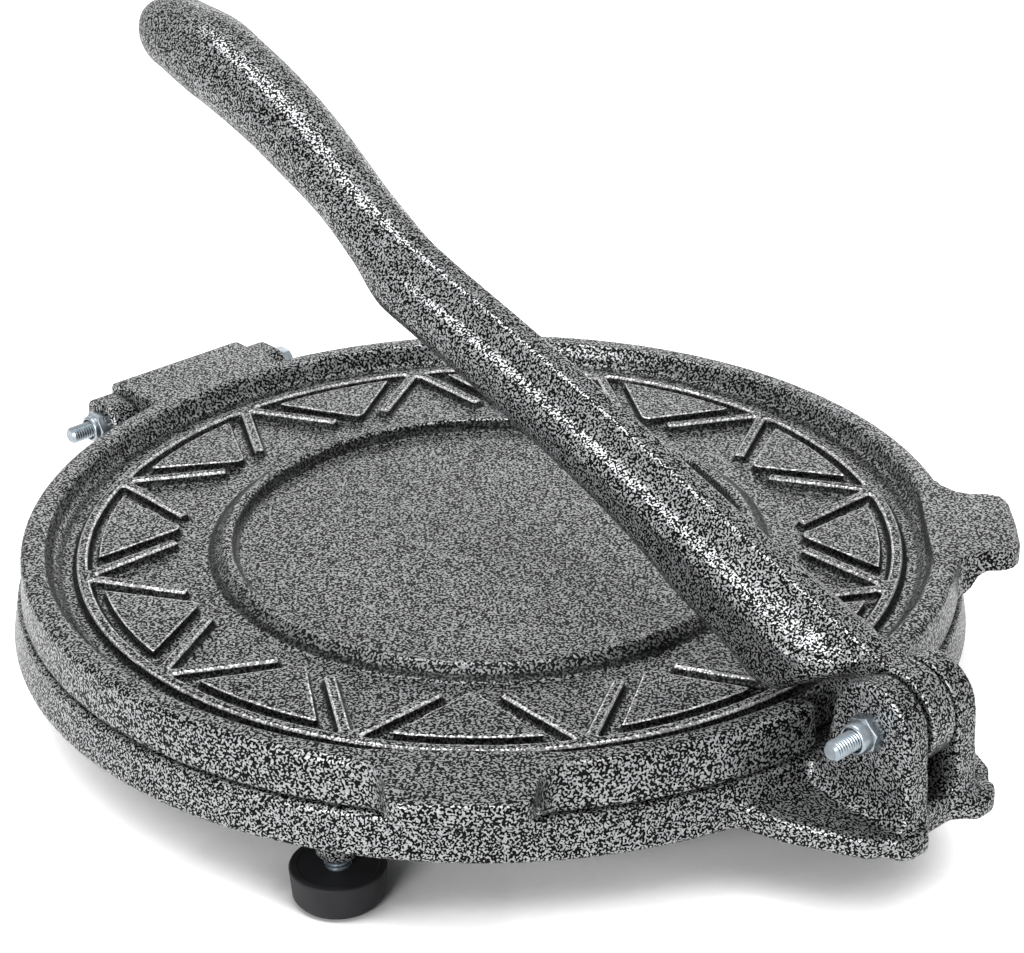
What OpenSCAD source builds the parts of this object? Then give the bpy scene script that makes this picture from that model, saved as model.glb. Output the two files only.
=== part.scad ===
// Cast-iron tortilla press: a hinged pair of round plates, squeezed by a cast lever.
// Millimetres. +Z is up, Z = 0 is the table under the three rubber feet.
// -Y is the lever bracket (the cook's side), +Y is the hinge.

/* [Plates] */
// Radius of the top plate at its rim
plate_r = 152.4; // [148:0.2:156]
// Height of the top plate's rim above the table
rim_z = 52.5; // [50:0.5:56]
// Thickness of the top plate at its rim
top_h = 15; // [14.4:0.2:17]
// Height of the base plate's skirt
base_h = 14; // [12:0.2:16]
// Gap between the two pressing faces when closed
seam = 0.4; // [0.3:0.1:1]
// How far the top plate widens from its rim to the seam
top_draft = 0.8; // [0.4:0.1:1.2]
// How far the base plate stands out from the top plate at the seam
base_lip = 1.3; // [0.6:0.1:2]
// How far the base plate widens from the seam to its foot
base_draft = 2.1; // [1.4:0.1:3]
// Thickness of the base plate's deck
deck_t = 7; // [5:0.5:8]
// Thickness of the base plate's skirt
skirt_t = 8; // [7:0.5:9]
// Width of the flat-topped rim
rim_w = 8; // [6:0.5:9]
// Depth of the field below the rim
field_drop = 8.2; // [7.6:0.1:8.6]

/* [Ornament] */
// Radius at the inner foot of the central ring
ring_in_r = 83.5; // [78:0.5:85]
// Radius at the outer foot of the central ring
ring_out_r = 92.5; // [91:0.5:95]
// Depth of the central ring's crest below the rim
ring_drop = 4.3; // [3:0.1:5]
// Depth of the central disc below the rim
disc_drop = 8.2; // [7:0.1:8.6]
// Number of sun rays
rays = 12; // [8:1:14]
// Height of the ornament above the field
relief = 3; // [2:0.1:3.4]
// Width of one ray rib
rib_w = 4.6; // [3.6:0.1:5]
// Radius at the inner ends of the rays
ray_in_r = 103.8; // [100:0.2:107]
// Radius of the outer edge of the triangles between the rays
tri_out_r = 127.6; // [125:0.2:128.6]
// Radius at the middle of the ridge ring outside the rays
ridge_r = 133; // [131.4:0.1:133.4]

/* [Lifting tabs] */
// Angle of each tab from the lever's side
tab_turn = 45; // [38:1:60]
// Width of a tab near its end
tab_w = 42; // [34:1:48]
// Reach of a tab from the plate's centre
tab_reach = 172; // [166:0.5:176]
// Thickness of a tab
tab_t = 7; // [5:0.5:9]

/* [Hinge] */
// Distance of the hinge axis behind the plate's rim
hinge_out = 14; // [12:0.1:14.6]
// Depth of the hinge axis below the rim's top, and radius of the lug around it
barrel_r = 10.5; // [10:0.1:11]
// Half width of the top plate's hinge lug
lug_x = 28; // [22:0.2:32]
// Gap between the lug and each ear
lug_gap = 0.6; // [0.4:0.1:1.5]
// Thickness of each hinge ear
hinge_ear_t = 11; // [9:0.5:13]
// Depth of the ears' tops below the rim
ear_drop = 2.8; // [2:0.1:4]

/* [Lever bracket] */
// Distance of the lever pivot in front of the plate's rim
pivot_out = 22.8; // [22:0.2:26]
// Height of the lever pivot above the rim
pivot_rise = 3.4; // [2.8:0.1:5]
// Radius of the bracket ears around the pivot
ear_r = 14; // [13:0.1:14.6]
// Width of the slot between the ears
slot_w = 12.6; // [12:0.2:14]
// Thickness of each ear
ear_t = 8.8; // [8:0.2:10]
// Thickness of the bracket's foot flange at its front
flange_t = 6.6; // [6:0.2:8]

/* [Lever] */
// Thickness of the lever's tang
tang_w = 9.6; // [9:0.2:11]
// Radius of the tang's end around the pivot
tang_r = 14.6; // [14:0.1:15]
// Half width of the shank's lower body
shank_w = 13; // [11:0.5:14]
// Half width of the pressing heel
heel_w = 16; // [14:0.5:17]
// Half width of the grip at its thickest
grip_w = 14.6; // [13:0.2:15.6]

/* [Feet] */
// Distance of the feet from the plate's axis
foot_at = 144; // [142:0.5:145]
// Radius of a rubber pad at its top
pad_r = 14.25; // [13:0.25:15]
// Height of a rubber pad
pad_h = 11.5; // [10:0.5:11.5]

/* [Fasteners] */
// Thread diameter of the lever and hinge bolts
bolt_d = 6; // [5:1:6]
// Thread diameter of the foot studs
stud_d = 8; // [6:1:8]
// Radial running clearance on every shaft
fit = 0.05; // [0.02:0.01:0.1]

/* [Hidden] */
$fn = 96;

iron = "dimgray";
zinc = "lightsteelblue";
rubber = "#26262a";
nylon = "steelblue";

// Levels measured from the top of the rim, which is the press frame's Z = 0.
seam_r = plate_r + top_draft;
top_bottom = -top_h;
base_top = top_bottom - seam;
base_bottom = base_top - base_h;
deck_bottom = base_top - deck_t;
base_top_r = seam_r + base_lip;
base_r = base_top_r + base_draft;
skirt_in_r = base_r - skirt_t;
rim_in_r = plate_r - rim_w;
relief_top = relief - field_drop;

hinge_y = plate_r + hinge_out;
hinge_z = -barrel_r;
hinge_back = hinge_y + barrel_r;
ear_back = hinge_back - 1;
ear_in_x = lug_x + lug_gap;
ear_out_x = ear_in_x + hinge_ear_t;

pivot_y = -plate_r - pivot_out;
pivot_z = pivot_rise;
bracket_x = slot_w / 2 + ear_t;
ear_foot_y = pivot_y - ear_r - 2.3;
ear_heel_y = -plate_r - 6;
flange_x = 42.5;
toe_x = 22.8;
toe_y = pivot_y - 20.3;
web_y = toe_y + 5.5;
fillet = 5;
notch_x = 11;

// The origin stands midway between the flange's toe and the back of the hinge lug.
axis_y = -(toe_y + hinge_back) / 2;

bolt_r = bolt_d / 2;
stud_r = stud_d / 2;
bolt_pitch = 1;
stud_pitch = 1.25;
nut_af = 10;
nut_hex_h = 4;
hinge_nut_h = 6;
lever_nut_h = 8;
washer_r = 6;
washer_t = 1.6;
head_h = 4;
collar_r = 4.7;
thread_depth = 0.55;

lever_bolt_len = 48.8;
hinge_bolt_len = 95;
lever_thread = 24;
hinge_thread = 24;

heel_z = -2;

foot_angles = [90, 210, 330];
boss_top_r = 8.6;
boss_low_r = 6.2;
boss_drop = rim_z + base_bottom - pad_h - 3.6;
stud_low = 5;
disc_r = 9;
disc_t = 2.5;
stud_in = 15;
stud_high = rim_z + base_bottom - boss_drop + stud_in - 1;

// ---------- 2-D helpers ----------

// Points on an arc from angle a to angle b, in n steps.
function arc(c, r, a, b, n = 6) =
    [for (i = [0 : n]) let (t = a + (b - a) * i / n) [c[0] + r * cos(t), c[1] + r * sin(t)]];

// The same outline run backwards and mirrored in its first coordinate.
function mirrored(pts) = [for (i = [len(pts) - 1 : -1 : 0]) [-pts[i][0], pts[i][1]]];

// ---------- placing helpers ----------

// Places its children in the press frame: plate axis at x = y = 0, rim top at z = 0.
module press() {
    translate([0, axis_y, rim_z]) children();
}

// Extrudes a Y-Z outline from x0 to x1.
module slab(x0, x1) {
    translate([x0, 0, 0]) rotate([90, 0, 90]) linear_extrude(x1 - x0) children();
}

// A round bar along X at a given Y and Z.
module bar(x0, x1, y, z, r) {
    translate([x0, y, z]) rotate([0, 90, 0]) cylinder(h = x1 - x0, r = r);
}

// Its children and their mirror image in the plane x = 0.
module both_sides() {
    children();
    mirror([1, 0, 0]) children();
}

// ---------- base plate ----------

function base_profile() = concat(
    [[0, deck_bottom], [0, base_top]],
    arc([base_top_r - 0.8, base_top - 0.8], 0.8, 90, 0, 3),
    arc([base_r - 1.5, base_bottom + 1.5], 1.5, 0, -90, 4),
    arc([skirt_in_r + 1, base_bottom + 1], 1, 270, 180, 3),
    arc([skirt_in_r - 4.5, deck_bottom - 4], 4, 0, 90, 5)
);

// Half of the bracket's foot flange, seen from above.
function flange_half() = concat(
    [[flange_x, 4 - plate_r], [flange_x - 4.5, toe_y + 31], [toe_x + 5, toe_y + 10]],
    arc([toe_x - 7, toe_y + 7], 7, -10, -80, 6),
    [[slot_w / 2 + 5, toe_y], [slot_w / 2 + 0.8, toe_y + 4.5], [slot_w / 2, web_y + 1]]
);

function ear_side() = [
    [pivot_y - ear_r, pivot_z],
    [ear_foot_y, base_bottom + 1],
    [ear_foot_y + 1, base_bottom],
    [-plate_r + 4, base_bottom],
    [-plate_r + 4, base_top - 1],
    [ear_heel_y + 3, base_top - 0.8],
    [ear_heel_y, base_top + 2],
    [pivot_y + ear_r, pivot_z],
];

function hinge_ear_side() = concat(
    [
        [plate_r + 1.2, base_top],
        [plate_r - 6, base_top],
        [plate_r - 6, base_bottom + 1],
        [base_r + 1, base_bottom + 1],
        [ear_back, hinge_z - 6],
    ],
    arc([ear_back - 4, -ear_drop - 4], 4, 0, 90, 4),
    arc([hinge_y - 3, -ear_drop - 5], 5, 90, 150, 3)
);

module lever_bracket() {
    flange_top = base_bottom + flange_t;
    difference() {
        union() {
            intersection() {
                translate([0, 0, base_bottom])
                    linear_extrude(base_h) polygon(concat(flange_half(), mirrored(flange_half())));
                slab(-flange_x, flange_x) polygon([
                    [toe_y, base_bottom],
                    [4 - plate_r, base_bottom],
                    [4 - plate_r, flange_top + 3],
                    [-base_r - 3, flange_top + 0.6],
                    [toe_y + 1.5, flange_top],
                    [toe_y, flange_top - 1.5],
                ]);
            }
            both_sides() {
                slab(slot_w / 2, bracket_x) polygon(ear_side());
                bar(slot_w / 2, bracket_x, pivot_y, pivot_z, ear_r);
                ear_fillet(flange_top);
            }
            slab(-slot_w / 2, slot_w / 2) polygon([
                [web_y, base_bottom],
                [web_y + 14, base_bottom],
                [web_y + 13, base_bottom + 11],
                [web_y + 1.5, base_bottom + 9.6],
                [web_y, base_bottom + 8.4],
            ]);
        }
        bar(-bracket_x - 1, bracket_x + 1, pivot_y, pivot_z, bolt_r + fit);
    }
}

// Fillet between an ear's outer face and the flange.
module ear_fillet(flange_top) {
    translate([bracket_x, ear_foot_y + 1, flange_top]) rotate([-90, 0, 0]) linear_extrude(-base_r + 2 - ear_foot_y)
        polygon(concat([[-1, 1], [-1, -fillet]], arc([fillet, -fillet], fillet, 180, 90, 4), [[fillet, 1]]));
}

module hinge_ears() {
    both_sides() difference() {
        slab(ear_in_x, ear_out_x) polygon(hinge_ear_side());
        bar(ear_in_x - 1, ear_out_x + 1, hinge_y, hinge_z, bolt_r + fit);
    }
}

module foot_boss(angle) {
    low = base_bottom - boss_drop;
    rotate([0, 0, angle]) translate([foot_at, 0, low])
        cylinder(h = deck_bottom + 1 - low, r1 = boss_low_r, r2 = boss_top_r);
}

module base_plate() {
    color(iron) press() difference() {
        union() {
            rotate_extrude($fn = 180) polygon(base_profile());
            lever_bracket();
            hinge_ears();
            for (a = foot_angles) foot_boss(a);
        }
        for (a = foot_angles) rotate([0, 0, a])
            translate([foot_at, 0, base_bottom - boss_drop - 1])
                cylinder(h = stud_in + 1, r = stud_r + fit);
    }
}

// ---------- top plate ----------

function top_profile() = concat(
    [[0, top_bottom]],
    arc([seam_r - 0.8, top_bottom + 0.8], 0.8, -90, 0, 3),
    arc([plate_r - 1.8, -1.8], 1.8, 0, 90, 5),
    arc([rim_in_r + 1.2, -1.2], 1.2, 90, 160, 4),
    arc([rim_in_r - 7.5, 7 - field_drop], 7, -30, -90, 5),
    [
        [ridge_r + 2.7, -field_drop], [ridge_r + 1.5, relief_top],
        [ridge_r - 1.5, relief_top], [ridge_r - 2.7, -field_drop],
        [ring_out_r, -field_drop],
    ],
    arc([ring_in_r + 3.4, -ring_drop - 1.6], 1.6, 55, 90, 3),
    arc([ring_in_r + 2, -ring_drop - 1.2], 1.2, 90, 165, 4),
    [[ring_in_r, 0.8 - disc_drop], [ring_in_r - 1, -disc_drop], [0, -disc_drop]]
);

// One leg of a ray, from the ridge ring inwards, leaning to one side.
module ray_leg(side) {
    half_pitch = 180 / rays;
    lean = half_pitch * 0.63;
    a = [ridge_r, 0];
    b = [ray_in_r * cos(lean), side * ray_in_r * sin(lean)];
    run = atan2(b[1] - a[1], b[0] - a[0]);
    translate(a) rotate(run) {
        translate([0, -rib_w / 2]) square([norm(b - a) - 1, rib_w]);
        translate([norm(b - a) - 1.4, 0]) circle(r = rib_w / 2, $fn = 24);
    }
}

// The raised triangle that fills the gap between two rays.
module triangle() {
    half_pitch = 180 / rays;
    wide = half_pitch * 0.66;
    polygon(concat(
        arc([0, 0], tri_out_r, -wide, wide, 8),
        arc([ray_in_r + 1.5, 0], 2.6, 120, 240, 4)
    ));
}

module sun_rays() {
    translate([0, 0, -field_drop - 1]) linear_extrude(relief + 1)
        for (i = [0 : rays - 1]) {
            rotate(90 + 360 * i / rays) {
                ray_leg(1);
                ray_leg(-1);
            }
            rotate(90 + 360 * (i + 0.5) / rays) triangle();
        }
}

// Half of a tab's plan, with x outwards from the plate's centre.
function tab_half() = let (
    r = 12,
    side = tab_w / 2 + r,
    turn = asin(side / (plate_r + r))
) concat(
    [[plate_r - 12, side - 6]],
    arc([(plate_r + r) * cos(turn), side], r, 180 + turn, 270, 6),
    arc([tab_reach - 8.5, tab_w / 2 - 8], 8, 85, 8, 6),
    [[tab_reach, 0]]
);

function flipped(pts) = [for (i = [len(pts) - 1 : -1 : 0]) [pts[i][0], -pts[i][1]]];

module tab(angle) {
    rotate([0, 0, angle]) intersection() {
        translate([0, 0, top_bottom]) linear_extrude(top_h) polygon(concat(tab_half(), flipped(tab_half())));
        rotate([90, 0, 0]) linear_extrude(tab_w * 2, center = true) polygon(concat(
            [[plate_r - 10, top_bottom + 1], [plate_r + 0.5, top_bottom + 1]],
            arc([plate_r + 10, top_bottom + 1.5], top_h - tab_t - 1.5, 170, 90, 6),
            [[tab_reach - 1, -tab_t], [tab_reach + 1, 1 - tab_t], [tab_reach + 1, -1.5],
             [tab_reach - 1.5, 0], [plate_r - 10, 0]]
        ));
    }
}

function lug_side() = concat(
    [
        [rim_in_r + 3, 0],
        [rim_in_r + 3, top_bottom],
        [hinge_y, top_bottom],
        [hinge_y, hinge_z],
        [hinge_back, hinge_z],
    ],
    arc([hinge_back - 3.5, -3.5], 3.5, 0, 90, 5)
);

module top_plate() {
    color(iron) press() difference() {
        union() {
            difference() {
                union() {
                    rotate_extrude($fn = 180) polygon(top_profile());
                    sun_rays();
                    tab(-90 - tab_turn);
                    tab(-90 + tab_turn);
                }
                rim_notch();
            }
            slab(-lug_x, lug_x) polygon(lug_side());
            bar(-lug_x, lug_x, hinge_y, hinge_z, barrel_r);
        }
        bar(-lug_x - 1, lug_x + 1, hinge_y, hinge_z, bolt_r + fit);
    }
}

// Gap in the front of the rim that the lever's tang drops through.
module rim_notch() {
    r = 3;
    inner_y = 6.4 - plate_r;
    translate([0, 0, top_bottom - 1]) linear_extrude(top_h + 2) polygon(concat(
        arc([r - notch_x, inner_y - r], r, 180, 90, 4),
        arc([notch_x - r, inner_y - r], r, 90, 0, 4),
        [[notch_x, -plate_r - 5], [-notch_x, -plate_r - 5]]
    ));
}

// ---------- lever ----------

// Stations along the lever. Each is a cut through it: y and z of the crest, y and z of the
// keel, half width, and how deep the flutes are (1 on the shank, 0 on the grip).
lever_rows = [
    [-163, 20.6, -161.5, 10, 5.4, 1],
    [-157, 22.3, -155.5, 8.4, 10.5, 1],
    [-149, 24.8, -147, 4.4, heel_w - 1, 1],
    [-139, 28.4, -134, heel_z, heel_w, 1],
    [-126, 33.4, -117, 5.4, heel_w - 0.6, 1],
    [-106, 40.6, -97.5, 13.2, heel_w - 1.6, 1],
    [-80, 50, -70.5, 26.8, shank_w + 0.6, 1],
    [-45, 62, -36.5, 39.8, shank_w, 1],
    [-10, 73.6, -2.5, 51.4, shank_w, 1],
    [17, 82.2, 24.5, 59.6, shank_w, 0.95],
    [34, 88.2, 42.5, 64.8, shank_w, 0.7],
    [47, 94.8, 57, 73.4, shank_w - 1.4, 0.2],
    [60.4, 102, 72.5, 84.4, grip_w - 2.8, 0],
    [79.4, 115.1, 90.8, 93.1, grip_w - 1.9, 0],
    [100, 126.4, 110, 101.4, grip_w - 1.1, 0],
    [120.2, 134.6, 129.8, 108.1, grip_w - 0.5, 0],
    [136, 139.8, 143.5, 112, grip_w, 0],
    [152.8, 141.8, 157.2, 116.4, grip_w - 1.2, 0],
];
row_steps = 3;
tip_len = 20;

// Catmull-Rom blend of four values.
function blend(a, b, c, d, t) =
    0.5 * (2 * b + (c - a) * t + (2 * a - 5 * b + 4 * c - d) * t * t + (3 * b - a - 3 * c + d) * t * t * t);

function row_at(i) = lever_rows[max(0, min(len(lever_rows) - 1, i))];

// Half outline of the fluted shank: a narrow crest, hollow flutes, a wide body.
function fluted(w, h) = let (u = min(1, h / 12)) [
    [0, h], [3.5, h], [5, h - 1.5 * u], [5.6, h - 4 * u], [max(5.6, w - 5.5), h - 7 * u],
    [max(5.7, w - 2), h - 9 * u], [w, h - 11.5 * u], [w, 5 * u - h], [w - 1.5, 1.6 * u - h],
    [w - 5, -h], [0, -h],
];

function oval(w, h) = [for (i = [0 : 10]) let (t = 90 - 18 * i)
    [w * sign(cos(t)) * pow(abs(cos(t)), 0.9), h * sign(sin(t)) * pow(abs(sin(t)), 0.9)]];

function section(w, h, f) = let (
    half = f * fluted(w, h) + (1 - f) * oval(w, h)
) concat(half, [for (i = [9 : -1 : 1]) [-half[i][0], half[i][1]]]);

// A cut of the lever as points in space. shrink closes the rounded tip.
function ring(r, shrink = 1, ahead = 0) = let (
    up = [r[0] - r[2], r[1] - r[3]] / 2,
    mid = [r[0] + r[2], r[1] + r[3]] / 2,
    n = up / norm(up),
    c = mid + ahead * [n[1], -n[0]]
) [for (q = section(r[4] * shrink, norm(up) * shrink, r[5])) [q[0], c[0] + q[1] * n[0], c[1] + q[1] * n[1]]];

lever_rings = concat(
    [for (i = [0 : len(lever_rows) - 2]) for (k = [0 : row_steps - 1])
        ring(blend(row_at(i - 1), row_at(i), row_at(i + 1), row_at(i + 2), k / row_steps))],
    [for (a = [0, 14, 27, 40, 52, 63, 73, 81, 87]) ring(row_at(len(lever_rows) - 1), cos(a), tip_len * sin(a))]
);

module lever_body() {
    n = len(lever_rings);
    m = len(lever_rings[0]);
    polyhedron(
        points = [for (r = lever_rings) each r],
        faces = concat(
            [[for (j = [0 : m - 1]) j]],
            [for (i = [0 : n - 2]) for (j = [0 : m - 1]) each [
                [i * m + j, (i + 1) * m + j, i * m + (j + 1) % m],
                [i * m + (j + 1) % m, (i + 1) * m + j, (i + 1) * m + (j + 1) % m],
            ]],
            [[for (j = [m - 1 : -1 : 0]) (n - 1) * m + j]]
        )
    );
}

function around_pivot(r, a) = [pivot_y + r * cos(a), pivot_z + r * sin(a)];

module lever() {
    color(iron) press() difference() {
        union() {
            lever_body();
            slab(-tang_w / 2, tang_w / 2) polygon([
                around_pivot(tang_r, 105), [-171, 18.2], [-160, 20.6], [-142, 26], [-142, 3],
                [-150, 2.6], around_pivot(tang_r, -50), [pivot_y, pivot_z],
            ]);
            bar(-tang_w / 2, tang_w / 2, pivot_y, pivot_z, tang_r);
        }
        bar(-tang_w, tang_w, pivot_y, pivot_z, bolt_r + fit);
    }
}

// ---------- fasteners ----------

// A threaded rod along +X that ends at x = 0: plain shank behind, annular thread in front.
module threaded(d, pitch, plain, thread) {
    r = d / 2;
    n = floor(thread / pitch);
    rotate([0, -90, 0]) rotate_extrude() polygon(concat(
        [[0, 0], [r - 0.8, 0]],
        [for (i = [0 : n - 1]) each [
            [r, i * pitch + 0.4 * pitch],
            [r, i * pitch + 0.6 * pitch],
            [r - thread_depth, (i + 1) * pitch],
        ]],
        [[r, n * pitch + 0.4 * pitch], [r, plain + thread], [0, plain + thread]]
    ));
}

// A chamfered hexagon along +X from x = 0.
module hexagon(af, h) {
    rotate([0, 90, 0]) intersection() {
        cylinder(h = h, r = af / sqrt(3), $fn = 6);
        cylinder(h = h, r1 = af / 2 + h * 1.4, r2 = af / 2);
        cylinder(h = h, r1 = af / 2 + 0.35, r2 = af / 2 + h * 1.4);
    }
}

// A hexagon-head bolt with its head at +X. under is the plane beneath the head.
module hex_bolt(under, tip, thread) {
    color(zinc) {
        translate([tip, 0, 0]) mirror([1, 0, 0])
            threaded(bolt_d, bolt_pitch, under - tip - thread, thread);
        translate([under, 0, 0]) hexagon(nut_af, head_h);
    }
}

// A flat washer that bears on the plane x, towards +X.
module washer(x) {
    color(zinc) translate([x, 0, 0]) rotate([0, 90, 0]) difference() {
        cylinder(h = washer_t, r = washer_r);
        translate([0, 0, -1]) cylinder(h = washer_t + 2, r = bolt_r + 0.2);
    }
}

// A lock nut that bears on the plane x and points towards -X, with a collar for its insert.
module lock_nut(x, nut_h) {
    color(zinc) translate([x, 0, 0]) mirror([1, 0, 0]) difference() {
        union() {
            hexagon(nut_af, nut_hex_h);
            rotate([0, 90, 0]) cylinder(h = nut_h, r = collar_r);
        }
        rotate([0, 90, 0]) translate([0, 0, -1]) cylinder(h = nut_h + 2, r = bolt_r + fit);
        rotate([0, 90, 0]) translate([0, 0, nut_hex_h]) cylinder(h = nut_h, r = collar_r - 0.5);
    }
}

module nut_insert(x, nut_h) {
    color(nylon) translate([x - nut_hex_h, 0, 0]) rotate([0, -90, 0]) difference() {
        cylinder(h = nut_h - nut_hex_h - 0.2, r = collar_r - 0.5 - fit);
        translate([0, 0, -1]) cylinder(h = nut_h, r = bolt_r + fit);
    }
}

module at_pivot() {
    press() translate([0, pivot_y, pivot_z]) children();
}

module at_hinge() {
    press() translate([0, hinge_y, hinge_z]) children();
}

module lever_bolt() {
    at_pivot() hex_bolt(bracket_x + washer_t, bracket_x + washer_t - lever_bolt_len, lever_thread);
}

module lever_washer() {
    at_pivot() washer(bracket_x);
}

module lever_nut() {
    at_pivot() lock_nut(-bracket_x, lever_nut_h);
}

module lever_nut_insert() {
    at_pivot() nut_insert(-bracket_x, lever_nut_h);
}

module hinge_bolt() {
    at_hinge() hex_bolt(ear_out_x + washer_t, ear_out_x + washer_t - hinge_bolt_len, hinge_thread);
}

module hinge_washer() {
    at_hinge() washer(ear_out_x);
}

module hinge_nut() {
    at_hinge() lock_nut(-ear_out_x, hinge_nut_h);
}

module hinge_nut_insert() {
    at_hinge() nut_insert(-ear_out_x, hinge_nut_h);
}

// ---------- feet ----------

// Places its children at foot n, with z = 0 on the table.
module at_foot(n) {
    translate([0, axis_y, 0]) rotate([0, 0, foot_angles[n - 1]]) translate([foot_at, 0, 0]) children();
}

module foot_pad(n) {
    color(rubber) at_foot(n) difference() {
        rotate_extrude() polygon(concat(
            [[0, 0]],
            arc([pad_r - 2.7, 2.2], 2.2, -90, 0, 5),
            arc([pad_r - 0.6, pad_h - 0.6], 0.6, 0, 90, 3),
            [[0, pad_h]]
        ));
        translate([0, 0, stud_low]) cylinder(h = disc_t, r = disc_r + fit);
        translate([0, 0, stud_low]) cylinder(h = pad_h, r = stud_r + fit);
    }
}

// Steel disc moulded into the pad, which spreads the stud's load.
module foot_disc(n) {
    color(zinc) at_foot(n) translate([0, 0, stud_low]) difference() {
        cylinder(h = disc_t, r = disc_r);
        translate([0, 0, -1]) cylinder(h = disc_t + 2, r = stud_r + fit);
    }
}

module foot_stud(n) {
    color(zinc) at_foot(n) translate([0, 0, stud_high]) rotate([0, -90, 0])
        threaded(stud_d, stud_pitch, disc_t, stud_high - stud_low - disc_t);
}

base_plate();
top_plate();
lever();
lever_bolt();
lever_washer();
lever_nut();
lever_nut_insert();
hinge_bolt();
hinge_washer();
hinge_nut();
hinge_nut_insert();
foot_pad(1);  // foot_pad_1
foot_stud(1);  // foot_stud_1
foot_disc(1);  // foot_disc_1
foot_pad(2);  // foot_pad_2
foot_stud(2);  // foot_stud_2
foot_disc(2);  // foot_disc_2
foot_pad(3);  // foot_pad_3
foot_stud(3);  // foot_stud_3
foot_disc(3);  // foot_disc_3
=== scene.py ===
"""Cast-iron tortilla press: finishes, rounded castings and fasteners around its fixed frame."""

import logging
import math
from dataclasses import dataclass
from enum import Enum
from typing import Callable, Sequence

import bmesh
import bpy
from mathutils import Matrix, Vector


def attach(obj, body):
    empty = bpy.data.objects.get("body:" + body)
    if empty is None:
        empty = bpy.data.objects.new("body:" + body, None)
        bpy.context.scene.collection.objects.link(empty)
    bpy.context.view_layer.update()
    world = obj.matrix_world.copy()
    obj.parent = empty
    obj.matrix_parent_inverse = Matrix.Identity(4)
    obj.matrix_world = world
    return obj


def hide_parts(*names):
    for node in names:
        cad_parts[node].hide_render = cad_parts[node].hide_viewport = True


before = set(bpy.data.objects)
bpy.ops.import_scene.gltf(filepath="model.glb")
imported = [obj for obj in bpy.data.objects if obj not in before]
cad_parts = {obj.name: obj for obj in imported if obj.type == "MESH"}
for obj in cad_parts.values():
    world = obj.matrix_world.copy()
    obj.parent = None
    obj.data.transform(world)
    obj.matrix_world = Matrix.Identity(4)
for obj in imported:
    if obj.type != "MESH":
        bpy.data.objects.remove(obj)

LOG = logging.getLogger("tortilla_press")

MM = 0.001
# Where the plate's axis and the rim's top stand in the shared frame, in millimetres.
AXIS_Y = 9.3
RIM_Z = 52.5
# Faces round a plate, a pad, a small turned part, a bar or bore, and one turn of a thread.
PLATE_FACES = 256
PAD_FACES = 128
SMALL_FACES = 96
BAR_FACES = 64
SHANK_FACES = 48
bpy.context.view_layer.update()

Point = tuple[float, float]
Piece = bpy.types.Object
Material = bpy.types.Material
Tree = bpy.types.NodeTree
Socket = bpy.types.NodeSocket


# ---------- colour and node helpers ----------

def linear(hex_colour: str) -> tuple[float, float, float, float]:
    """Turns an sRGB hex colour into linear red, green, blue and an alpha of 1."""
    parts = [int(hex_colour[i:i + 2], 16) / 255 for i in (1, 3, 5)]
    light = [p / 12.92 if p <= 0.04045 else ((p + 0.055) / 1.055) ** 2.4 for p in parts]
    return (*light, 1.0)


def add_node(tree: Tree, kind: str, inputs: dict | None = None, **settings) -> bpy.types.Node:
    """Adds a node with its settings, its input values and its links.

    Args:
        tree: The material's node tree.
        kind: The node's type, such as "ShaderNodeTexNoise".
        inputs: Socket name or number to a value, or to the output socket that feeds it.
        settings: The node's own properties.

    Returns:
        The new node.
    """
    node = tree.nodes.new(kind)
    for name, value in settings.items():
        setattr(node, name, value)
    for socket, value in (inputs or {}).items():
        if isinstance(value, Socket):
            tree.links.new(value, node.inputs[socket])
        else:
            node.inputs[socket].default_value = value
    return node


def new_material(name: str) -> tuple[Material, Tree, Socket]:
    """Starts an empty node material; returns it, its tree and its surface socket."""
    material = bpy.data.materials.new(name)
    material.use_nodes = True
    tree = material.node_tree
    tree.nodes.clear()
    output = add_node(tree, "ShaderNodeOutputMaterial")
    return material, tree, output.inputs["Surface"]


def mottled(
    tree: Tree, place: Socket, patch_mm: float, first: str, second: str, detail: float = 2.0,
) -> Socket:
    """Lets one colour drift into another over patches of a real size.

    Args:
        tree: The material's node tree.
        place: Object coordinates.
        patch_mm: Size of a patch.
        first: The one colour, in hex.
        second: The other colour, in hex.
        detail: Finer steps within a patch.

    Returns:
        The colour's socket.
    """
    drift = add_node(
        tree, "ShaderNodeTexNoise",
        {"Vector": place, "Scale": 1 / (patch_mm * MM), "Detail": detail},
    )
    return add_node(
        tree, "ShaderNodeMix",
        {"Factor": drift.outputs["Fac"], "A": linear(first), "B": linear(second)},
        data_type="RGBA",
    ).outputs["Result"]


# ---------- finishes ----------

@dataclass(frozen=True)
class Finish:
    """A procedural finish on Object coordinates, with its sizes in real millimetres."""

    name: str

    def coat(self, tree: Tree, place: Socket) -> dict[str, object]:
        """Adds the finish's own nodes.

        Args:
            tree: The material's node tree.
            place: Object coordinates.

        Returns:
            The shader's inputs.
        """
        raise NotImplementedError(self.name)

    def build(self) -> Material:
        """Makes the node material and returns it."""
        material, tree, surface = new_material(self.name)
        place = add_node(tree, "ShaderNodeTexCoord").outputs["Object"]
        shader = add_node(tree, "ShaderNodeBsdfPrincipled", self.coat(tree, place))
        tree.links.new(shader.outputs["BSDF"], surface)
        return material


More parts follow.
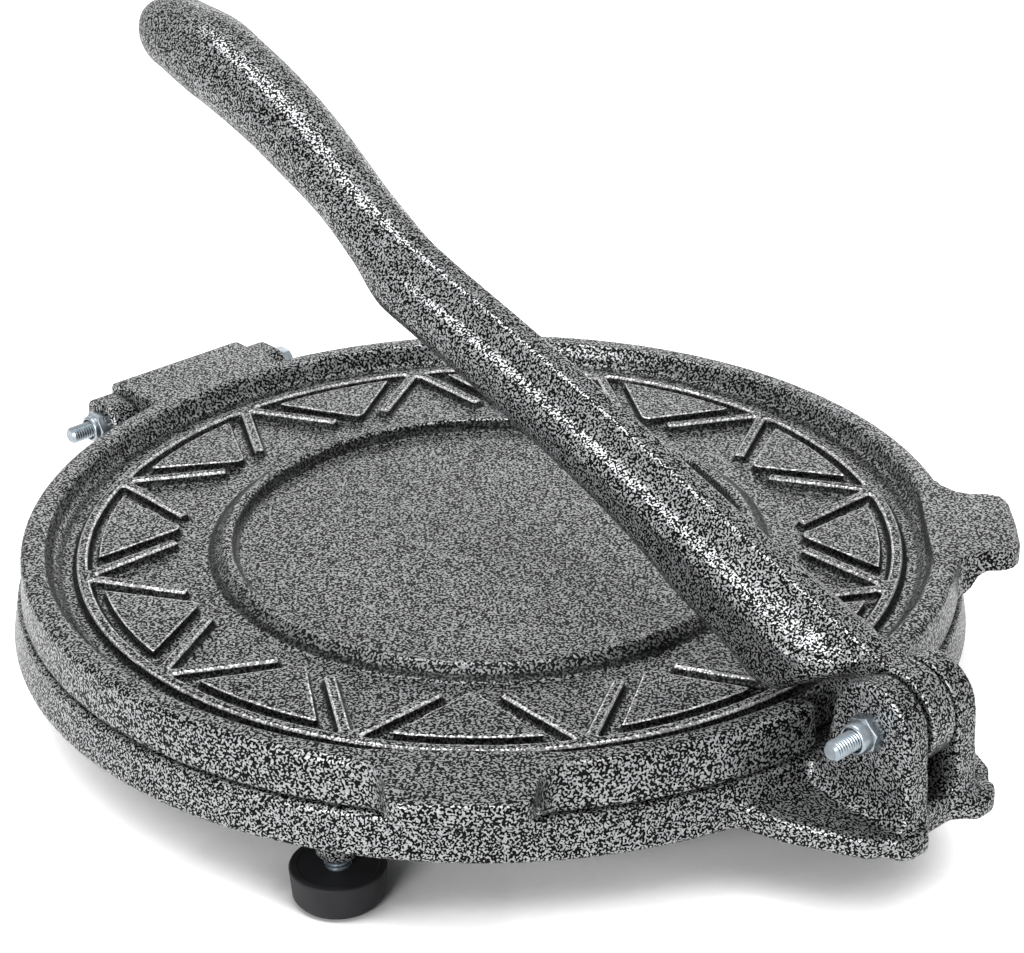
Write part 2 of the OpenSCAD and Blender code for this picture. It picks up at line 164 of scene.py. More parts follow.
@dataclass(frozen=True)
class HammertoneEnamel(Finish):
    """Hammertone enamel, sprayed on sand-cast iron and left to crawl into cells.

    Silver flake gathers on raised islands and the black binder shows in the sunken veins between
    them, so the surface is a fine labyrinth of bright and near-black. Islands are 0.6 mm across.
    """

    name: str = "hammertone_enamel"
    silver: str = "#bebfbf"
    dull: str = "#888a8c"
    vein: str = "#020202"
    cell_mm: float = 0.62
    cell_detail: float = 0.3
    cell_swirl: float = 0.35
    # The turn keeps the noise's own grid off the faces of the castings.
    cell_turn: tuple[float, float, float] = (0.65, 0.4, 0.9)
    vein_from: float = 0.51
    vein_to: float = 0.545
    patch_mm: float = 6.0
    patch_pull: float = 0.06
    tone_cells: float = 0.55
    flake: float = 0.55
    gloss: float = 0.33
    sheen_level: float = 0.08
    relief_mm: float = 0.25
    relief_strength: float = 0.6

    def islands(self, tree: Tree, place: Socket) -> Socket:
        """Adds the labyrinth.

        Args:
            tree: The material's node tree.
            place: Object coordinates.

        Returns:
            A value of 1 on the silver islands and 0 in the veins.
        """
        turned_place = add_node(
            tree, "ShaderNodeMapping", {"Vector": place, "Rotation": self.cell_turn},
        ).outputs[0]
        cells = add_node(
            tree, "ShaderNodeTexNoise",
            {"Vector": turned_place, "Scale": 1 / (self.cell_mm * MM),
             "Detail": self.cell_detail, "Distortion": self.cell_swirl},
        )
        patches = add_node(
            tree, "ShaderNodeTexNoise",
            {"Vector": place, "Scale": 1 / (self.patch_mm * MM), "Detail": 1.0},
        )
        crawl = add_node(
            tree, "ShaderNodeMath",
            {0: patches.outputs["Fac"], 1: self.patch_pull, 2: cells.outputs["Fac"]},
            operation="MULTIPLY_ADD",
        )
        middle = self.patch_pull / 2
        return add_node(
            tree, "ShaderNodeMapRange",
            {"Value": crawl.outputs[0], "From Min": self.vein_from + middle,
             "From Max": self.vein_to + middle},
            interpolation_type="SMOOTHSTEP",
        ).outputs["Result"]

    def toned(self, tree: Tree, place: Socket, island: Socket, paint: Socket) -> Socket:
        """Returns the paint as it is; the relief's enamel paints shade and highlights on it."""
        return paint

    def coat(self, tree: Tree, place: Socket) -> dict[str, object]:
        """Adds the islands, colour, metal and relief; returns the shader's inputs."""
        island = self.islands(tree, place)
        tone = mottled(tree, place, self.cell_mm / self.tone_cells, self.dull, self.silver, 0.0)
        paint = add_node(
            tree, "ShaderNodeMix", {"Factor": island, "A": linear(self.vein), "B": tone},
            data_type="RGBA",
        ).outputs["Result"]
        metal = add_node(
            tree, "ShaderNodeMath", {0: island, 1: self.flake}, operation="MULTIPLY",
        )
        bump = add_node(
            tree, "ShaderNodeBump",
            {"Height": island, "Distance": self.relief_mm * MM, "Strength": self.relief_strength},
        )
        return {
            "Base Color": self.toned(tree, place, island, paint),
            "Metallic": metal.outputs[0],
            "Roughness": self.gloss,
            "Specular IOR Level": self.sheen_level,
            "Normal": bump.outputs["Normal"],
        }


@dataclass(frozen=True)
class ReliefEnamel(HammertoneEnamel):
    """The same enamel on the dished plate, with painted shade on its walls and painted highlights
    on its crest edges.

    The relief's steep walls and low slopes are painted near-black for shade, and thin near-white
    painted highlights are laid on the ornament's rounded crest edges.
    """

    name: str = "hammertone_enamel_on_relief"
    cell_mm: float = 0.74
    top_mm: float = 47.3
    # The near-black is painted shade for the relief's walls and low slopes.
    wall_shade: str = "#101112"
    # The near-white is a painted highlight for the ornament's crest edges.
    crest: str = "#fafafa"
    # How much painted shade the walls and the ring's outer slope take, and how much of the painted
    # highlight follows the islands.
    wall_shade_share: float = 0.85
    slope_shade_share: float = 0.55
    dot_share: float = 0.6

    def toned(self, tree: Tree, place: Socket, island: Socket, paint: Socket) -> Socket:
        """Paints shade on the relief's steep walls and low slopes, and highlights on its crest
        edges.

        Args:
            tree: The material's node tree.
            place: Object coordinates.
            island: The flake's islands.
            paint: The paint's colour.

        Returns:
            The new colour.
        """
        flat = add_node(
            tree, "ShaderNodeVectorMath", {0: place, 1: (1, 1, 0), 2: (0, -AXIS_Y * MM, 0)},
            operation="MULTIPLY_ADD",
        )
        radius = add_node(
            tree, "ShaderNodeVectorMath", {0: flat.outputs[0]}, operation="LENGTH",
        ).outputs["Value"]
        normal = add_node(tree, "ShaderNodeTexCoord").outputs["Normal"]
        upward = add_node(tree, "ShaderNodeSeparateXYZ", {0: normal}).outputs["Z"]
        height = add_node(tree, "ShaderNodeSeparateXYZ", {0: place}).outputs["Z"]
        # Each ramp is 0 at its first value and 1 at its second, which may be the smaller one.
        ramps = {
            "steep": (upward, 0.8, 0.45),
            "gentle": (upward, 0.985, 0.9),
            "turning": (upward, 0.985, 0.93),
            "off_wall": (upward, 0.4, 0.55),
            "low": (height, (self.top_mm - 0.9) * MM, (self.top_mm - 1.5) * MM),
            "high": (height, (self.top_mm - 0.9) * MM, (self.top_mm - 0.6) * MM),
            "in_outer_slope": (radius, 97 * MM, 95.5 * MM),
            "out_of_crest": (radius, 86 * MM, 88.5 * MM),
            "in_rim": (radius, 147 * MM, 138 * MM),
            "in_ridge": (radius, 138 * MM, 137.5 * MM),
            "out_of_ring": (radius, 96 * MM, 98 * MM),
        }
        parts = {
            name: add_node(
                tree, "ShaderNodeMapRange",
                {"Value": value, "From Min": nothing, "From Max": whole},
                interpolation_type="SMOOTHSTEP",
            ).outputs["Result"]
            for name, (value, nothing, whole) in ramps.items()
        }
        parts["dotted"] = add_node(
            tree, "ShaderNodeMath", {0: island, 1: self.dot_share, 2: 1 - self.dot_share},
            operation="MULTIPLY_ADD",
        ).outputs[0]
        # Steep walls, and the low slopes and the ring's outer slope inside the rim, get painted
        # shade.
        for name, operation, first, second in (
            ("ring_slope", "MULTIPLY", "in_outer_slope", "out_of_crest"),
            ("slope", "MULTIPLY", "ring_slope", self.slope_shade_share),
            ("reach", "MAXIMUM", "low", "slope"),
            ("shaded_slopes", "MULTIPLY", "gentle", "reach"),
            ("walls", "MAXIMUM", "steep", "shaded_slopes"),
            ("field_walls", "MULTIPLY", "walls", "in_rim"),
            ("painted_shade", "MULTIPLY", "field_walls", self.wall_shade_share),
            # The rounded crest edges of the ornament get a painted highlight, mostly on the
            # islands.
            ("rounded", "MULTIPLY", "turning", "off_wall"),
            ("ornament", "MULTIPLY", "in_ridge", "out_of_ring"),
            ("crests", "MULTIPLY", "high", "ornament"),
            ("painted_highlight", "MULTIPLY", "rounded", "crests"),
            ("edge", "MULTIPLY", "painted_highlight", "dotted"),
        ):
            parts[name] = add_node(
                tree, "ShaderNodeMath", {0: parts[first], 1: parts.get(second, second)},
                operation=operation,
            ).outputs[0]
        # Mixes in the painted shade, then the painted highlight.
        for share, colour in (("painted_shade", self.wall_shade), ("edge", self.crest)):
            paint = add_node(
                tree, "ShaderNodeMix", {"Factor": parts[share], "A": paint, "B": linear(colour)},
                data_type="RGBA",
            ).outputs["Result"]
        return paint


@dataclass(frozen=True)
class ZincPlate(Finish):
    """Bright zinc plate with blue passivate, on rolled steel fasteners.

    It is a clean cool metal, blue in the shade, with fine tool marks and a little clouding.
    """

    name: str = "bright_zinc_plate"
    bright: str = "#b0b6ba"
    cloud: str = "#77858f"
    cloud_mm: float = 2.2
    smoothest: float = 0.19
    roughest: float = 0.39
    mark_mm: float = 0.25
    mark_deep_mm: float = 0.02

    def coat(self, tree: Tree, place: Socket) -> dict[str, object]:
        """Adds the clouding and the tool marks; returns the shader's inputs."""
        marks = add_node(
            tree, "ShaderNodeTexNoise",
            {"Vector": place, "Scale": 1 / (self.mark_mm * MM), "Detail": 2.0},
        ).outputs["Fac"]
        rough = add_node(
            tree, "ShaderNodeMapRange",
            {"Value": marks, "To Min": self.smoothest, "To Max": self.roughest},
        )
        bump = add_node(
            tree, "ShaderNodeBump",
            {"Height": marks, "Distance": self.mark_deep_mm * MM, "Strength": 0.4},
        )
        return {
            "Base Color": mottled(tree, place, self.cloud_mm, self.cloud, self.bright),
            "Metallic": 1.0,
            "Roughness": rough.outputs["Result"],
            "Normal": bump.outputs["Normal"],
        }


@dataclass(frozen=True)
class MouldedRubber(Finish):
    """Black moulded rubber: a matt, slightly dusty skin with a fine mould grain."""

    name: str = "moulded_rubber"
    body: str = "#17171a"
    dust: str = "#2b2b2d"
    bloom_mm: float = 7.0
    grain_mm: float = 0.5
    grain_deep_mm: float = 0.05

    def coat(self, tree: Tree, place: Socket) -> dict[str, object]:
        """Adds the bloom and the mould grain; returns the shader's inputs."""
        grain = add_node(
            tree, "ShaderNodeTexNoise",
            {"Vector": place, "Scale": 1 / (self.grain_mm * MM), "Detail": 3.0},
        )
        bump = add_node(
            tree, "ShaderNodeBump",
            {"Height": grain.outputs["Fac"], "Distance": self.grain_deep_mm * MM, "Strength": 0.5},
        )
        return {
            "Base Color": mottled(tree, place, self.bloom_mm, self.body, self.dust),
            "Roughness": 0.55,
            "IOR": 1.52,
            "Specular IOR Level": 0.2,
            "Normal": bump.outputs["Normal"],
        }


@dataclass(frozen=True)
class NylonInsert(Finish):
    """Smoke-grey nylon of a lock nut's insert: waxy, with a faint mould flow."""

    name: str = "nylon_insert"
    body: str = "#39444b"
    flow: str = "#4a565e"
    flow_mm: float = 1.5

    def coat(self, tree: Tree, place: Socket) -> dict[str, object]:
        """Adds the mould flow and returns the shader's inputs."""
        tone = mottled(tree, place, self.flow_mm, self.body, self.flow)
        return {"Base Color": tone, "Roughness": 0.4, "IOR": 1.53}


class Slot(Enum):
    """The record's material slots."""

    IRON = "hammertone_iron"
    ZINC = "zinc_plate"
    RUBBER = "rubber"
    NYLON = "nylon"


class Body(Enum):
    """The bodies that pieces ride on."""

    BASE = "base"
    TOP = "upper"
    LEVER = "handle"


# ---------- modelling helpers ----------

class Plane(Enum):
    """The plane an outline is drawn in, and so the way it is extruded."""

    SIDE = "y and z, extruded along x"
    PLAN = "x and y, extruded along z"


def select_only(*objects: Piece) -> None:
    """Selects these objects alone and makes the first one active."""
    bpy.ops.object.select_all(action="DESELECT")
    for item in objects:
        item.select_set(True)
    bpy.context.view_layer.objects.active = objects[0]


def primitive(name: str, add: Callable[..., set[str]], **settings) -> Piece:
    """Adds a primitive with nothing else selected, names it and applies its place and turn.

    Args:
        name: Name of the object.
        add: The operator that adds it.
        settings: The operator's own settings.

    Returns:
        The new object.
    """
    bpy.ops.object.select_all(action="DESELECT")
    add(**settings)
    item = bpy.context.active_object
    item.name = name
    bpy.ops.object.transform_apply()
    return item


def edit_all() -> None:
    """Opens the active object in edit mode with everything selected."""
    bpy.ops.object.mode_set(mode="EDIT")
    bpy.ops.mesh.select_all(action="SELECT")


def close_normals() -> None:
    """Points every face of the edited mesh outwards and leaves edit mode."""
    bpy.ops.mesh.select_all(action="SELECT")
    bpy.ops.mesh.normals_make_consistent(inside=False)
    bpy.ops.object.mode_set(mode="OBJECT")


def arc(centre: Point, radius: float, start: float, stop: float, steps: int = 6) -> list[Point]:
    """Points on an arc.

    Args:
        centre: The arc's centre.
        radius: Its radius.
        start: First angle in degrees.
        stop: Last angle in degrees.
        steps: Number of chords.

    Returns:
        The points in order.
    """
    angles = [math.radians(start + (stop - start) * i / steps) for i in range(steps + 1)]
    return [(centre[0] + radius * math.cos(a), centre[1] + radius * math.sin(a)) for a in angles]


def with_mirror(outline: Sequence[Point], axis: int = 0) -> list[Point]:
    """Closes half an outline with its mirror image, in which the axis's coordinate changes sign."""
    turn_x, turn_y = (-1, 1) if axis == 0 else (1, -1)
    return list(outline) + [(x * turn_x, y * turn_y) for x, y in reversed(outline)]


def turned(name: str, profile: Sequence[Point], faces: int) -> Piece:
    """Turns a closed body: a filled circle is extruded and resized along a profile.

    Args:
        name: Name of the object.
        profile: Radius and height in millimetres, from one flat cap to the other.
        faces: Number of faces round the body.

    Returns:
        The new object, on the Z axis.
    """
    radius, height = profile[0]
    item = primitive(
        name, bpy.ops.mesh.primitive_circle_add,
        vertices=faces, radius=radius * MM, fill_type="NGON", location=(0, 0, height * MM),
    )
    edit_all()
    for new_radius, new_height in profile[1:]:
        rise = (0, 0, (new_height - height) * MM)
        bpy.ops.mesh.extrude_region_move(TRANSFORM_OT_translate={"value": rise})
        scale = new_radius / radius
        bpy.ops.transform.resize(
            value=(scale, scale, 1), center_override=(0, 0, new_height * MM),
        )
        radius, height = new_radius, new_height
    close_normals()
    return item


def extruded(
    name: str, outline: Sequence[Point], plane: Plane, low: float, high: float,
) -> Piece:
    """Extrudes an outline: a filled circle whose corners are set to it is pulled out.

    Args:
        name: Name of the object.
        outline: The outline's corners in millimetres.
        plane: The plane it lies in.
        low: Where the solid starts.
        high: Where it ends.

    Returns:
        The new object.
    """
    item = primitive(
        name, bpy.ops.mesh.primitive_circle_add,
        vertices=len(outline), radius=MM, fill_type="NGON",
    )
    for vertex, (first, second) in zip(item.data.vertices, outline):
        place = (low, first, second) if plane is Plane.SIDE else (first, second, low)
        vertex.co = Vector(place) * MM
    way = (1, 0, 0) if plane is Plane.SIDE else (0, 0, 1)
    edit_all()
    bpy.ops.mesh.extrude_region_move(
        TRANSFORM_OT_translate={"value": tuple(w * (high - low) * MM for w in way)},
    )
    close_normals()
    return item


def round_bar(
    name: str, radius: float, start: float, stop: float, y: float = 0, z: float = 0,
) -> Piece:
    """Adds a round bar along X, as a body or a cutter.

    Args:
        name: Name of the object.
        radius: Its radius.
        start: Where it starts on X.
        stop: Where it ends on X.
        y: Its axis in Y.
        z: Its axis in Z.

    Returns:
        The new object.
    """
    return primitive(
        name, bpy.ops.mesh.primitive_cylinder_add,
        vertices=BAR_FACES, radius=radius * MM, depth=(stop - start) * MM,
        location=((start + stop) / 2 * MM, y * MM, z * MM), rotation=(0, math.pi / 2, 0),
    )


def upright_bar(
    name: str, radius: float, low: float, high: float, x: float = 0, y: float = 0,
) -> Piece:
    """Adds an upright cylinder, used as a cutter, and returns it."""
    return primitive(
        name, bpy.ops.mesh.primitive_cylinder_add,
        vertices=BAR_FACES, radius=radius * MM, depth=(high - low) * MM,
        location=(x * MM, y * MM, (low + high) / 2 * MM),
    )


def modify(item: Piece, kind: str, **settings) -> None:
    """Adds a modifier of this kind with its settings and applies it."""
    select_only(item)
    modifier = item.modifiers.new(kind.lower(), kind)
    for name, value in settings.items():
        setattr(modifier, name, value)
    bpy.ops.object.modifier_apply(modifier=modifier.name)


def carve(item: Piece, other: Piece, operation: str = "DIFFERENCE") -> Piece:
    """Combines an object with another by an exact boolean, and deletes the other.

    Args:
        item: The object that is changed.
        other: The object that changes it.
        operation: "DIFFERENCE", "INTERSECT" or "UNION".

    Returns:
        The changed object.
    """
    modify(item, "BOOLEAN", object=other, operation=operation, solver="EXACT")
    bpy.data.objects.remove(other)
    return item


def fuse(item: Piece, *others: Piece) -> Piece:
    """Unites the others with the item into one solid and returns it."""
    for other in others:
        carve(item, other, "UNION")
    return item


def screwed(
    name: str, radius: float, pitch: float, depth: float, envelope: Sequence[Point],
) -> Piece:
    """Makes a rod with a helical thread along Z: one turn's profile is screwed up and trimmed.

    Args:
        name: Name of the object.
        radius: Radius over the thread's crests.
        pitch: Rise of one turn.
        depth: Depth of the thread.
        envelope: Radius and height of the turned body that the rod is trimmed to.

    Returns:
        The new object.
    """
    low, high = envelope[0][1], envelope[-1][1]
    start = low - 1.5 * pitch
    # One turn from root to root, as parts of the pitch, with a flat crest of under a fifth.
    profile = [(radius - depth, 0), (radius, 0.4), (radius, 0.58), (radius - depth, 1)]
    item = primitive(
        name, bpy.ops.mesh.primitive_circle_add,
        vertices=len(profile), radius=MM, fill_type="NOTHING",
    )
    for vertex, (r, part) in zip(item.data.vertices, profile):
        vertex.co = Vector((r, 0, start + part * pitch)) * MM
    bpy.ops.object.mode_set(mode="EDIT")
    bpy.ops.mesh.select_all(action="DESELECT")
    mesh = bmesh.from_edit_mesh(item.data)
    for edge in mesh.edges:
        if {vertex.index for vertex in edge.verts} == {0, len(profile) - 1}:
            edge.select_set(True)
    bmesh.update_edit_mesh(item.data)
    bpy.ops.mesh.delete(type="EDGE")
    bpy.ops.object.mode_set(mode="OBJECT")
    modify(
        item, "SCREW", axis="Z", angle=2 * math.pi, screw_offset=pitch * MM,
        iterations=math.ceil((high - low) / pitch) + 3,
        steps=SHANK_FACES, render_steps=SHANK_FACES,
    )
    select_only(item)
    edit_all()
    bpy.ops.mesh.remove_doubles(threshold=1e-6)
    bpy.ops.mesh.fill_holes(sides=0)
    close_normals()
    return carve(item, turned("rod_envelope", envelope, SMALL_FACES), "INTERSECT")


def hexagon(name: str, flats: float, low: float, high: float, turn: float = 0) -> Piece:
    """Makes an upright hexagon with the conical chamfers of a forged nut or head.

    Args:
        name: Name of the object.
        flats: Width across the flats.
        low: Where it starts on Z.
        high: Where it ends on Z.
        turn: Its turn about Z in degrees.

    Returns:
        The new object.
    """
    corner = flats / math.sqrt(3)
    inner, outer = flats / 2 - 0.1, corner + 0.1
    drop = (corner - flats / 2) * math.tan(math.radians(30)) + 0.06
    item = primitive(
        name, bpy.ops.mesh.primitive_cylinder_add,
        vertices=6, radius=corner * MM, depth=(high - low + 2) * MM,
        location=(0, 0, (low + high) / 2 * MM),
    )
    item.data.transform(Matrix.Rotation(math.radians(turn), 4, "Z"))
    envelope = [(inner, low), (outer, low + drop), (outer, high - drop), (inner, high)]
    return carve(item, turned("hex_envelope", envelope, SMALL_FACES), "INTERSECT")


def shaded(item: Piece, angle: float = 35) -> Piece:
    """Shades an object smooth except at edges sharper than the angle, and returns it."""
    select_only(item)
    bpy.ops.object.shade_smooth_by_angle(angle=math.radians(angle))
    return item


def machined(item: Piece, edge: float = 0.08) -> Piece:
    """Breaks the sharp edges of a steel part, shades it and returns it."""
    modify(
        item, "BEVEL", width=edge * MM, segments=2, limit_method="ANGLE",
        angle_limit=math.radians(38),
    )
    return shaded(item)


def moved(item: Piece, x: float, y: float, z: float, tilt: float = 0) -> Piece:
    """Tilts an object about Y, moves it in millimetres and returns it."""
    place = Matrix.Translation(Vector((x, y, z)) * MM)
    item.data.transform(place @ Matrix.Rotation(math.radians(tilt), 4, "Y"))
    return item


def join(first: Piece, *others: Piece) -> Piece:
    """Joins the others into the first object and returns it."""
    select_only(first, *others)
    bpy.ops.object.join()
    return first


def copied(item: Piece, angle: float, flip: bool = False) -> Piece:
    """Copies an object with its own mesh, flipped in y = 0 if asked and turned about Z."""
    twin = item.copy()
    twin.data = item.data.copy()
    bpy.context.scene.collection.objects.link(twin)
    if flip:
        twin.data.transform(Matrix.Scale(-1, 4, (0, 1, 0)))
        twin.data.flip_normals()
    twin.data.transform(Matrix.Rotation(math.radians(angle), 4, "Z"))
    return twin


def mirrored_in_x(item: Piece) -> Piece:
    """Adds the object's mirror image in the plane x = 0 to it, and returns it."""
    modify(
        item, "MIRROR", use_axis=(True, False, False), use_clip=False, use_mirror_merge=False,
    )
    return item


def cast_skin(item: Piece, voxel: float, rounds: int, triangles: int) -> None:
    """Fuses overlapping shells into one skin with the soft edges and fillets of a sand casting.

    Args:
        item: The joined shells.
        voxel: Spacing of the skin's points in millimetres.
        rounds: Rounds of smoothing.
        triangles: The most triangles to keep.
    """
    modify(item, "REMESH", mode="VOXEL", voxel_size=voxel * MM, use_smooth_shade=True)
    modify(item, "SMOOTH", factor=0.5, iterations=rounds)
    count = 2 * len(item.data.polygons)
    if count > triangles:
        modify(item, "DECIMATE", ratio=triangles / count)
    select_only(item)
    bpy.ops.object.shade_smooth()


def finish_piece(
    item: Piece, finish: Material, body: Body, node: str, suffix: str = "part",
) -> None:
    """Moves a piece from the plate's own frame to its place, dresses it and fixes it to its body.

    Args:
        item: The piece, drawn with the plate's axis at x = y = 0 and the rim's top at z = 0.
        finish: Its material.
        body: The body it rides on.
        node: The frame node that it stands for.
        suffix: What its own name adds to the node's.
    """
    name = f"{node}_{suffix}"
    item.name = name
    item.data.name = name
    item.data.transform(Matrix.Translation(Vector((0, AXIS_Y, RIM_Z)) * MM))
    item.data.materials.clear()
    item.data.materials.append(finish)
    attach(item, body.value)
    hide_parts(node)
    LOG.info("%s: %d faces on body %s", name, len(item.data.polygons), body.value)


# ---------- castings ----------

@dataclass
class Sizes:
    """Sizes that several pieces share, in millimetres, from the rim's top and the plate's axis."""

    plate_r: float = 152.4
    top_h: float = 15.0
    seam: float = 0.4
    base_h: float = 14.0
    top_draft: float = 0.8
    base_lip: float = 1.3
    base_draft: float = 2.1
    hinge_y: float = 166.4
    hinge_z: float = -10.5
    pivot_y: float = -175.2
    pivot_z: float = 3.4
    lug_x: float = 28.0
    lug_gap: float = 0.6
    barrel_r: float = 10.5
    bolt_r: float = 3.05
    foot_at: float = 144.0
    foot_angles: tuple[int, ...] = (90, 210, 330)
    pad_h: float = 11.5

    @property
    def top_bottom(self) -> float:
        """Underside of the top plate."""
        return -self.top_h

    @property
    def base_top(self) -> float:
        """Top face of the base plate."""
        return self.top_bottom - self.seam

    @property
    def base_bottom(self) -> float:
        """Foot of the base plate's skirt."""
        return self.base_top - self.base_h

    @property
    def seam_r(self) -> float:
        """Radius of the top plate at the seam."""
        return self.plate_r + self.top_draft

    @property
    def base_r(self) -> float:
        """Radius of the base plate at its foot."""
        return self.seam_r + self.base_lip + self.base_draft


@dataclass
class Casting:
    """An iron casting: shells that overlap get one cast skin, and its bores are cut afterwards."""

    sizes: Sizes
    iron: Material
    node: str = ""
    body: Body = Body.BASE
    skin: float = 0.75
    smoothing: int = 3
    triangles: int = 190_000

    def shells(self) -> tuple[Piece, ...]:
        """The closed shells that make up the casting."""
        raise NotImplementedError(self.node)

    def bores(self) -> Piece:
        """The cutter for its bores."""
        raise NotImplementedError(self.node)

    def build(self) -> None:
        """Builds the casting."""
        item = join(*self.shells())
        cast_skin(item, self.skin, self.smoothing, self.triangles)
        carve(item, self.bores())
        finish_piece(item, self.iron, self.body, self.node, "casting")


@dataclass
class TopPlate(Casting):
    """The top plate: a dished disc with sun rays, a notched rim, two tabs and a hinge lug."""

    node: str = "top_plate"
    body: Body = Body.TOP
    smoothing: int = 2
    rim_w: float = 8.0
    rim_edge: float = 1.8
    lip_edge: float = 1.2
    foot_edge: float = 0.8
    cove_r: float = 7.0
    field_drop: float = 8.2
    ring_in_r: float = 83.5
    ring_out_r: float = 92.5
    ring_drop: float = 4.3
    disc_drop: float = 8.2
    rays: int = 12
    relief: float = 3.0
    rib_w: float = 4.6
    rib_edge: float = 0.6
    ray_in_r: float = 103.8
    ray_lean: float = 0.63
    tri_out_r: float = 127.6
    tri_wide: float = 0.66
    tri_tip_r: float = 2.6
    ridge_r: float = 133.0
    ridge_top: float = 1.5
    ridge_foot: float = 2.7
    tab_turn: float = 45.0
    tab_w: float = 42.0
    tab_reach: float = 172.0
    tab_t: float = 7.0
    tab_root_r: float = 12.0
    tab_corner_r: float = 8.0
    notch_x: float = 11.0
    notch_depth: float = 6.4
    notch_corner_r: float = 3.0
    lug_back_r: float = 3.5

    def disc(self) -> Piece:
        """The turned body: rim, field, ridge ring and central ring."""
        s = self.sizes
        rim_in_r = s.plate_r - self.rim_w
        top, ridge = self.relief - self.field_drop, self.ridge_r
        foot, edge, lip, cove = self.foot_edge, self.rim_edge, self.lip_edge, self.cove_r
        profile = (
            arc((s.seam_r - foot, s.top_bottom + foot), foot, -90, 0, 3)
            + arc((s.plate_r - edge, -edge), edge, 0, 90, 6)
            + arc((rim_in_r + lip, -lip), lip, 90, 160, 5)
            + arc((rim_in_r - 7.5, cove - self.field_drop), cove, -30, -90, 7)
            + [(ridge + self.ridge_foot, -self.field_drop), (ridge + self.ridge_top, top),
               (ridge - self.ridge_top, top), (ridge - self.ridge_foot, -self.field_drop),
               (self.ring_out_r, -self.field_drop)]
            + arc((self.ring_in_r + 3.4, -self.ring_drop - 1.6), 1.6, 55, 90, 4)
            + arc((self.ring_in_r + 2, -self.ring_drop - 1.2), 1.2, 90, 165, 5)
            + [(self.ring_in_r, 0.8 - self.disc_drop), (self.ring_in_r - 1, -self.disc_drop)]
        )
        return turned("plate_disc", profile, PLATE_FACES)

    def ray_leg(self) -> Piece:
        """One leg of a ray: a tapered rib from the ridge ring inwards, leaning to one side."""
        lean = math.radians(180 / self.rays * self.ray_lean)
        start = Vector((self.ridge_r, 0, 0))
        end = Vector((self.ray_in_r * math.cos(lean), self.ray_in_r * math.sin(lean), 0))
        run = end - start
        low, high = -self.field_drop - 1, self.relief - self.field_drop
        length = run.length + self.rib_w / 2 - 1
        rib = primitive("ray_leg", bpy.ops.mesh.primitive_cube_add, size=MM)
        rib.location = (length / 2 * MM, 0, (low + high) / 2 * MM)
        rib.scale = (length, self.rib_w, high - low)
        bpy.ops.object.transform_apply()
        bpy.ops.object.mode_set(mode="EDIT")
        mesh = bmesh.from_edit_mesh(rib.data)
        for face in mesh.faces:
            face.select_set(face.normal.z > 0.5)
        bmesh.update_edit_mesh(rib.data)
        drawn_in = 2 * self.rib_edge
        bpy.ops.transform.resize(value=(1 - drawn_in / length, 1 - drawn_in / self.rib_w, 1))
        bpy.ops.mesh.select_all(action="SELECT")
        bpy.ops.mesh.bevel(offset=self.rib_edge * MM, segments=2)
        close_normals()
        turn = Matrix.Rotation(math.atan2(run.y, run.x), 4, "Z")
        rib.data.transform(Matrix.Translation(start * MM) @ turn)
        return rib

    def triangle(self) -> Piece:
        """The raised triangle between two rays."""
        wide = 180 / self.rays * self.tri_wide
        outline = arc((0, 0), self.tri_out_r, -wide, wide, 10)
        outline += arc((self.ray_in_r + 1.5, 0), self.tri_tip_r, 120, 240, 5)
        low, high = -self.field_drop - 1, self.relief - self.field_drop
        return extruded("triangle", outline, Plane.PLAN, low, high)

    def ornament(self) -> list[Piece]:
        """The sun rays and triangles, each modelled once and copied round the plate."""
        leg, tile = self.ray_leg(), self.triangle()
        pitch = 360 / self.rays
        parts = []
        for number in range(self.rays):
            parts.append(copied(leg, 90 + pitch * number))
            parts.append(copied(leg, 90 + pitch * number, flip=True))
            parts.append(copied(tile, 90 + pitch * (number + 0.5)))
        bpy.data.objects.remove(leg)
        bpy.data.objects.remove(tile)
        return parts

    def tab(self) -> Piece:
        """One lifting tab with rounded corners, its underside stepped up to a thin lip."""
        s = self.sizes
        root, corner, reach = self.tab_root_r, self.tab_corner_r, self.tab_reach
        start = s.plate_r - 10
        side = self.tab_w / 2 + root
        turn = math.degrees(math.asin(side / (s.plate_r + root)))
        root_x = (s.plate_r + root) * math.cos(math.radians(turn))
        half = [(s.plate_r - 12, side - 6)]
        half += arc((root_x, side), root, 180 + turn, 270, 8)
        half += arc((reach - 8.5, self.tab_w / 2 - corner), corner, 85, 8, 8)
        half += [(reach, 0.1)]
        plan = extruded("tab", with_mirror(half, 1), Plane.PLAN, s.top_bottom, 0)
        side_cut = [(start, s.top_bottom + 1), (s.plate_r + 0.5, s.top_bottom + 1)]
        step_r = s.top_h - self.tab_t - 1.5
        side_cut += arc((s.plate_r + 10, s.top_bottom + 1.5), step_r, 170, 90, 8)
        side_cut += [(reach - 1, -self.tab_t), (reach + 1, 1 - self.tab_t),
                     (reach + 1, -1.5), (reach - 1.5, 0), (start, 0)]
        cutter = extruded("tab_side", side_cut, Plane.SIDE, -self.tab_w, self.tab_w)
        cutter.data.transform(Matrix.Rotation(-math.pi / 2, 4, "Z"))
        return carve(plan, cutter, "INTERSECT")

    def notch(self) -> Piece:
        """Cutter for the gap in the rim that the lever's tang drops through."""
        s, corner = self.sizes, self.notch_corner_r
        inner = self.notch_depth - s.plate_r
        outline = arc((corner - self.notch_x, inner - corner), corner, 180, 90, 5)
        outline += arc((self.notch_x - corner, inner - corner), corner, 90, 0, 5)
        outline += [(self.notch_x, -s.plate_r - 5), (-self.notch_x, -s.plate_r - 5)]
        return extruded("notch", outline, Plane.PLAN, s.top_bottom - 1, 1)

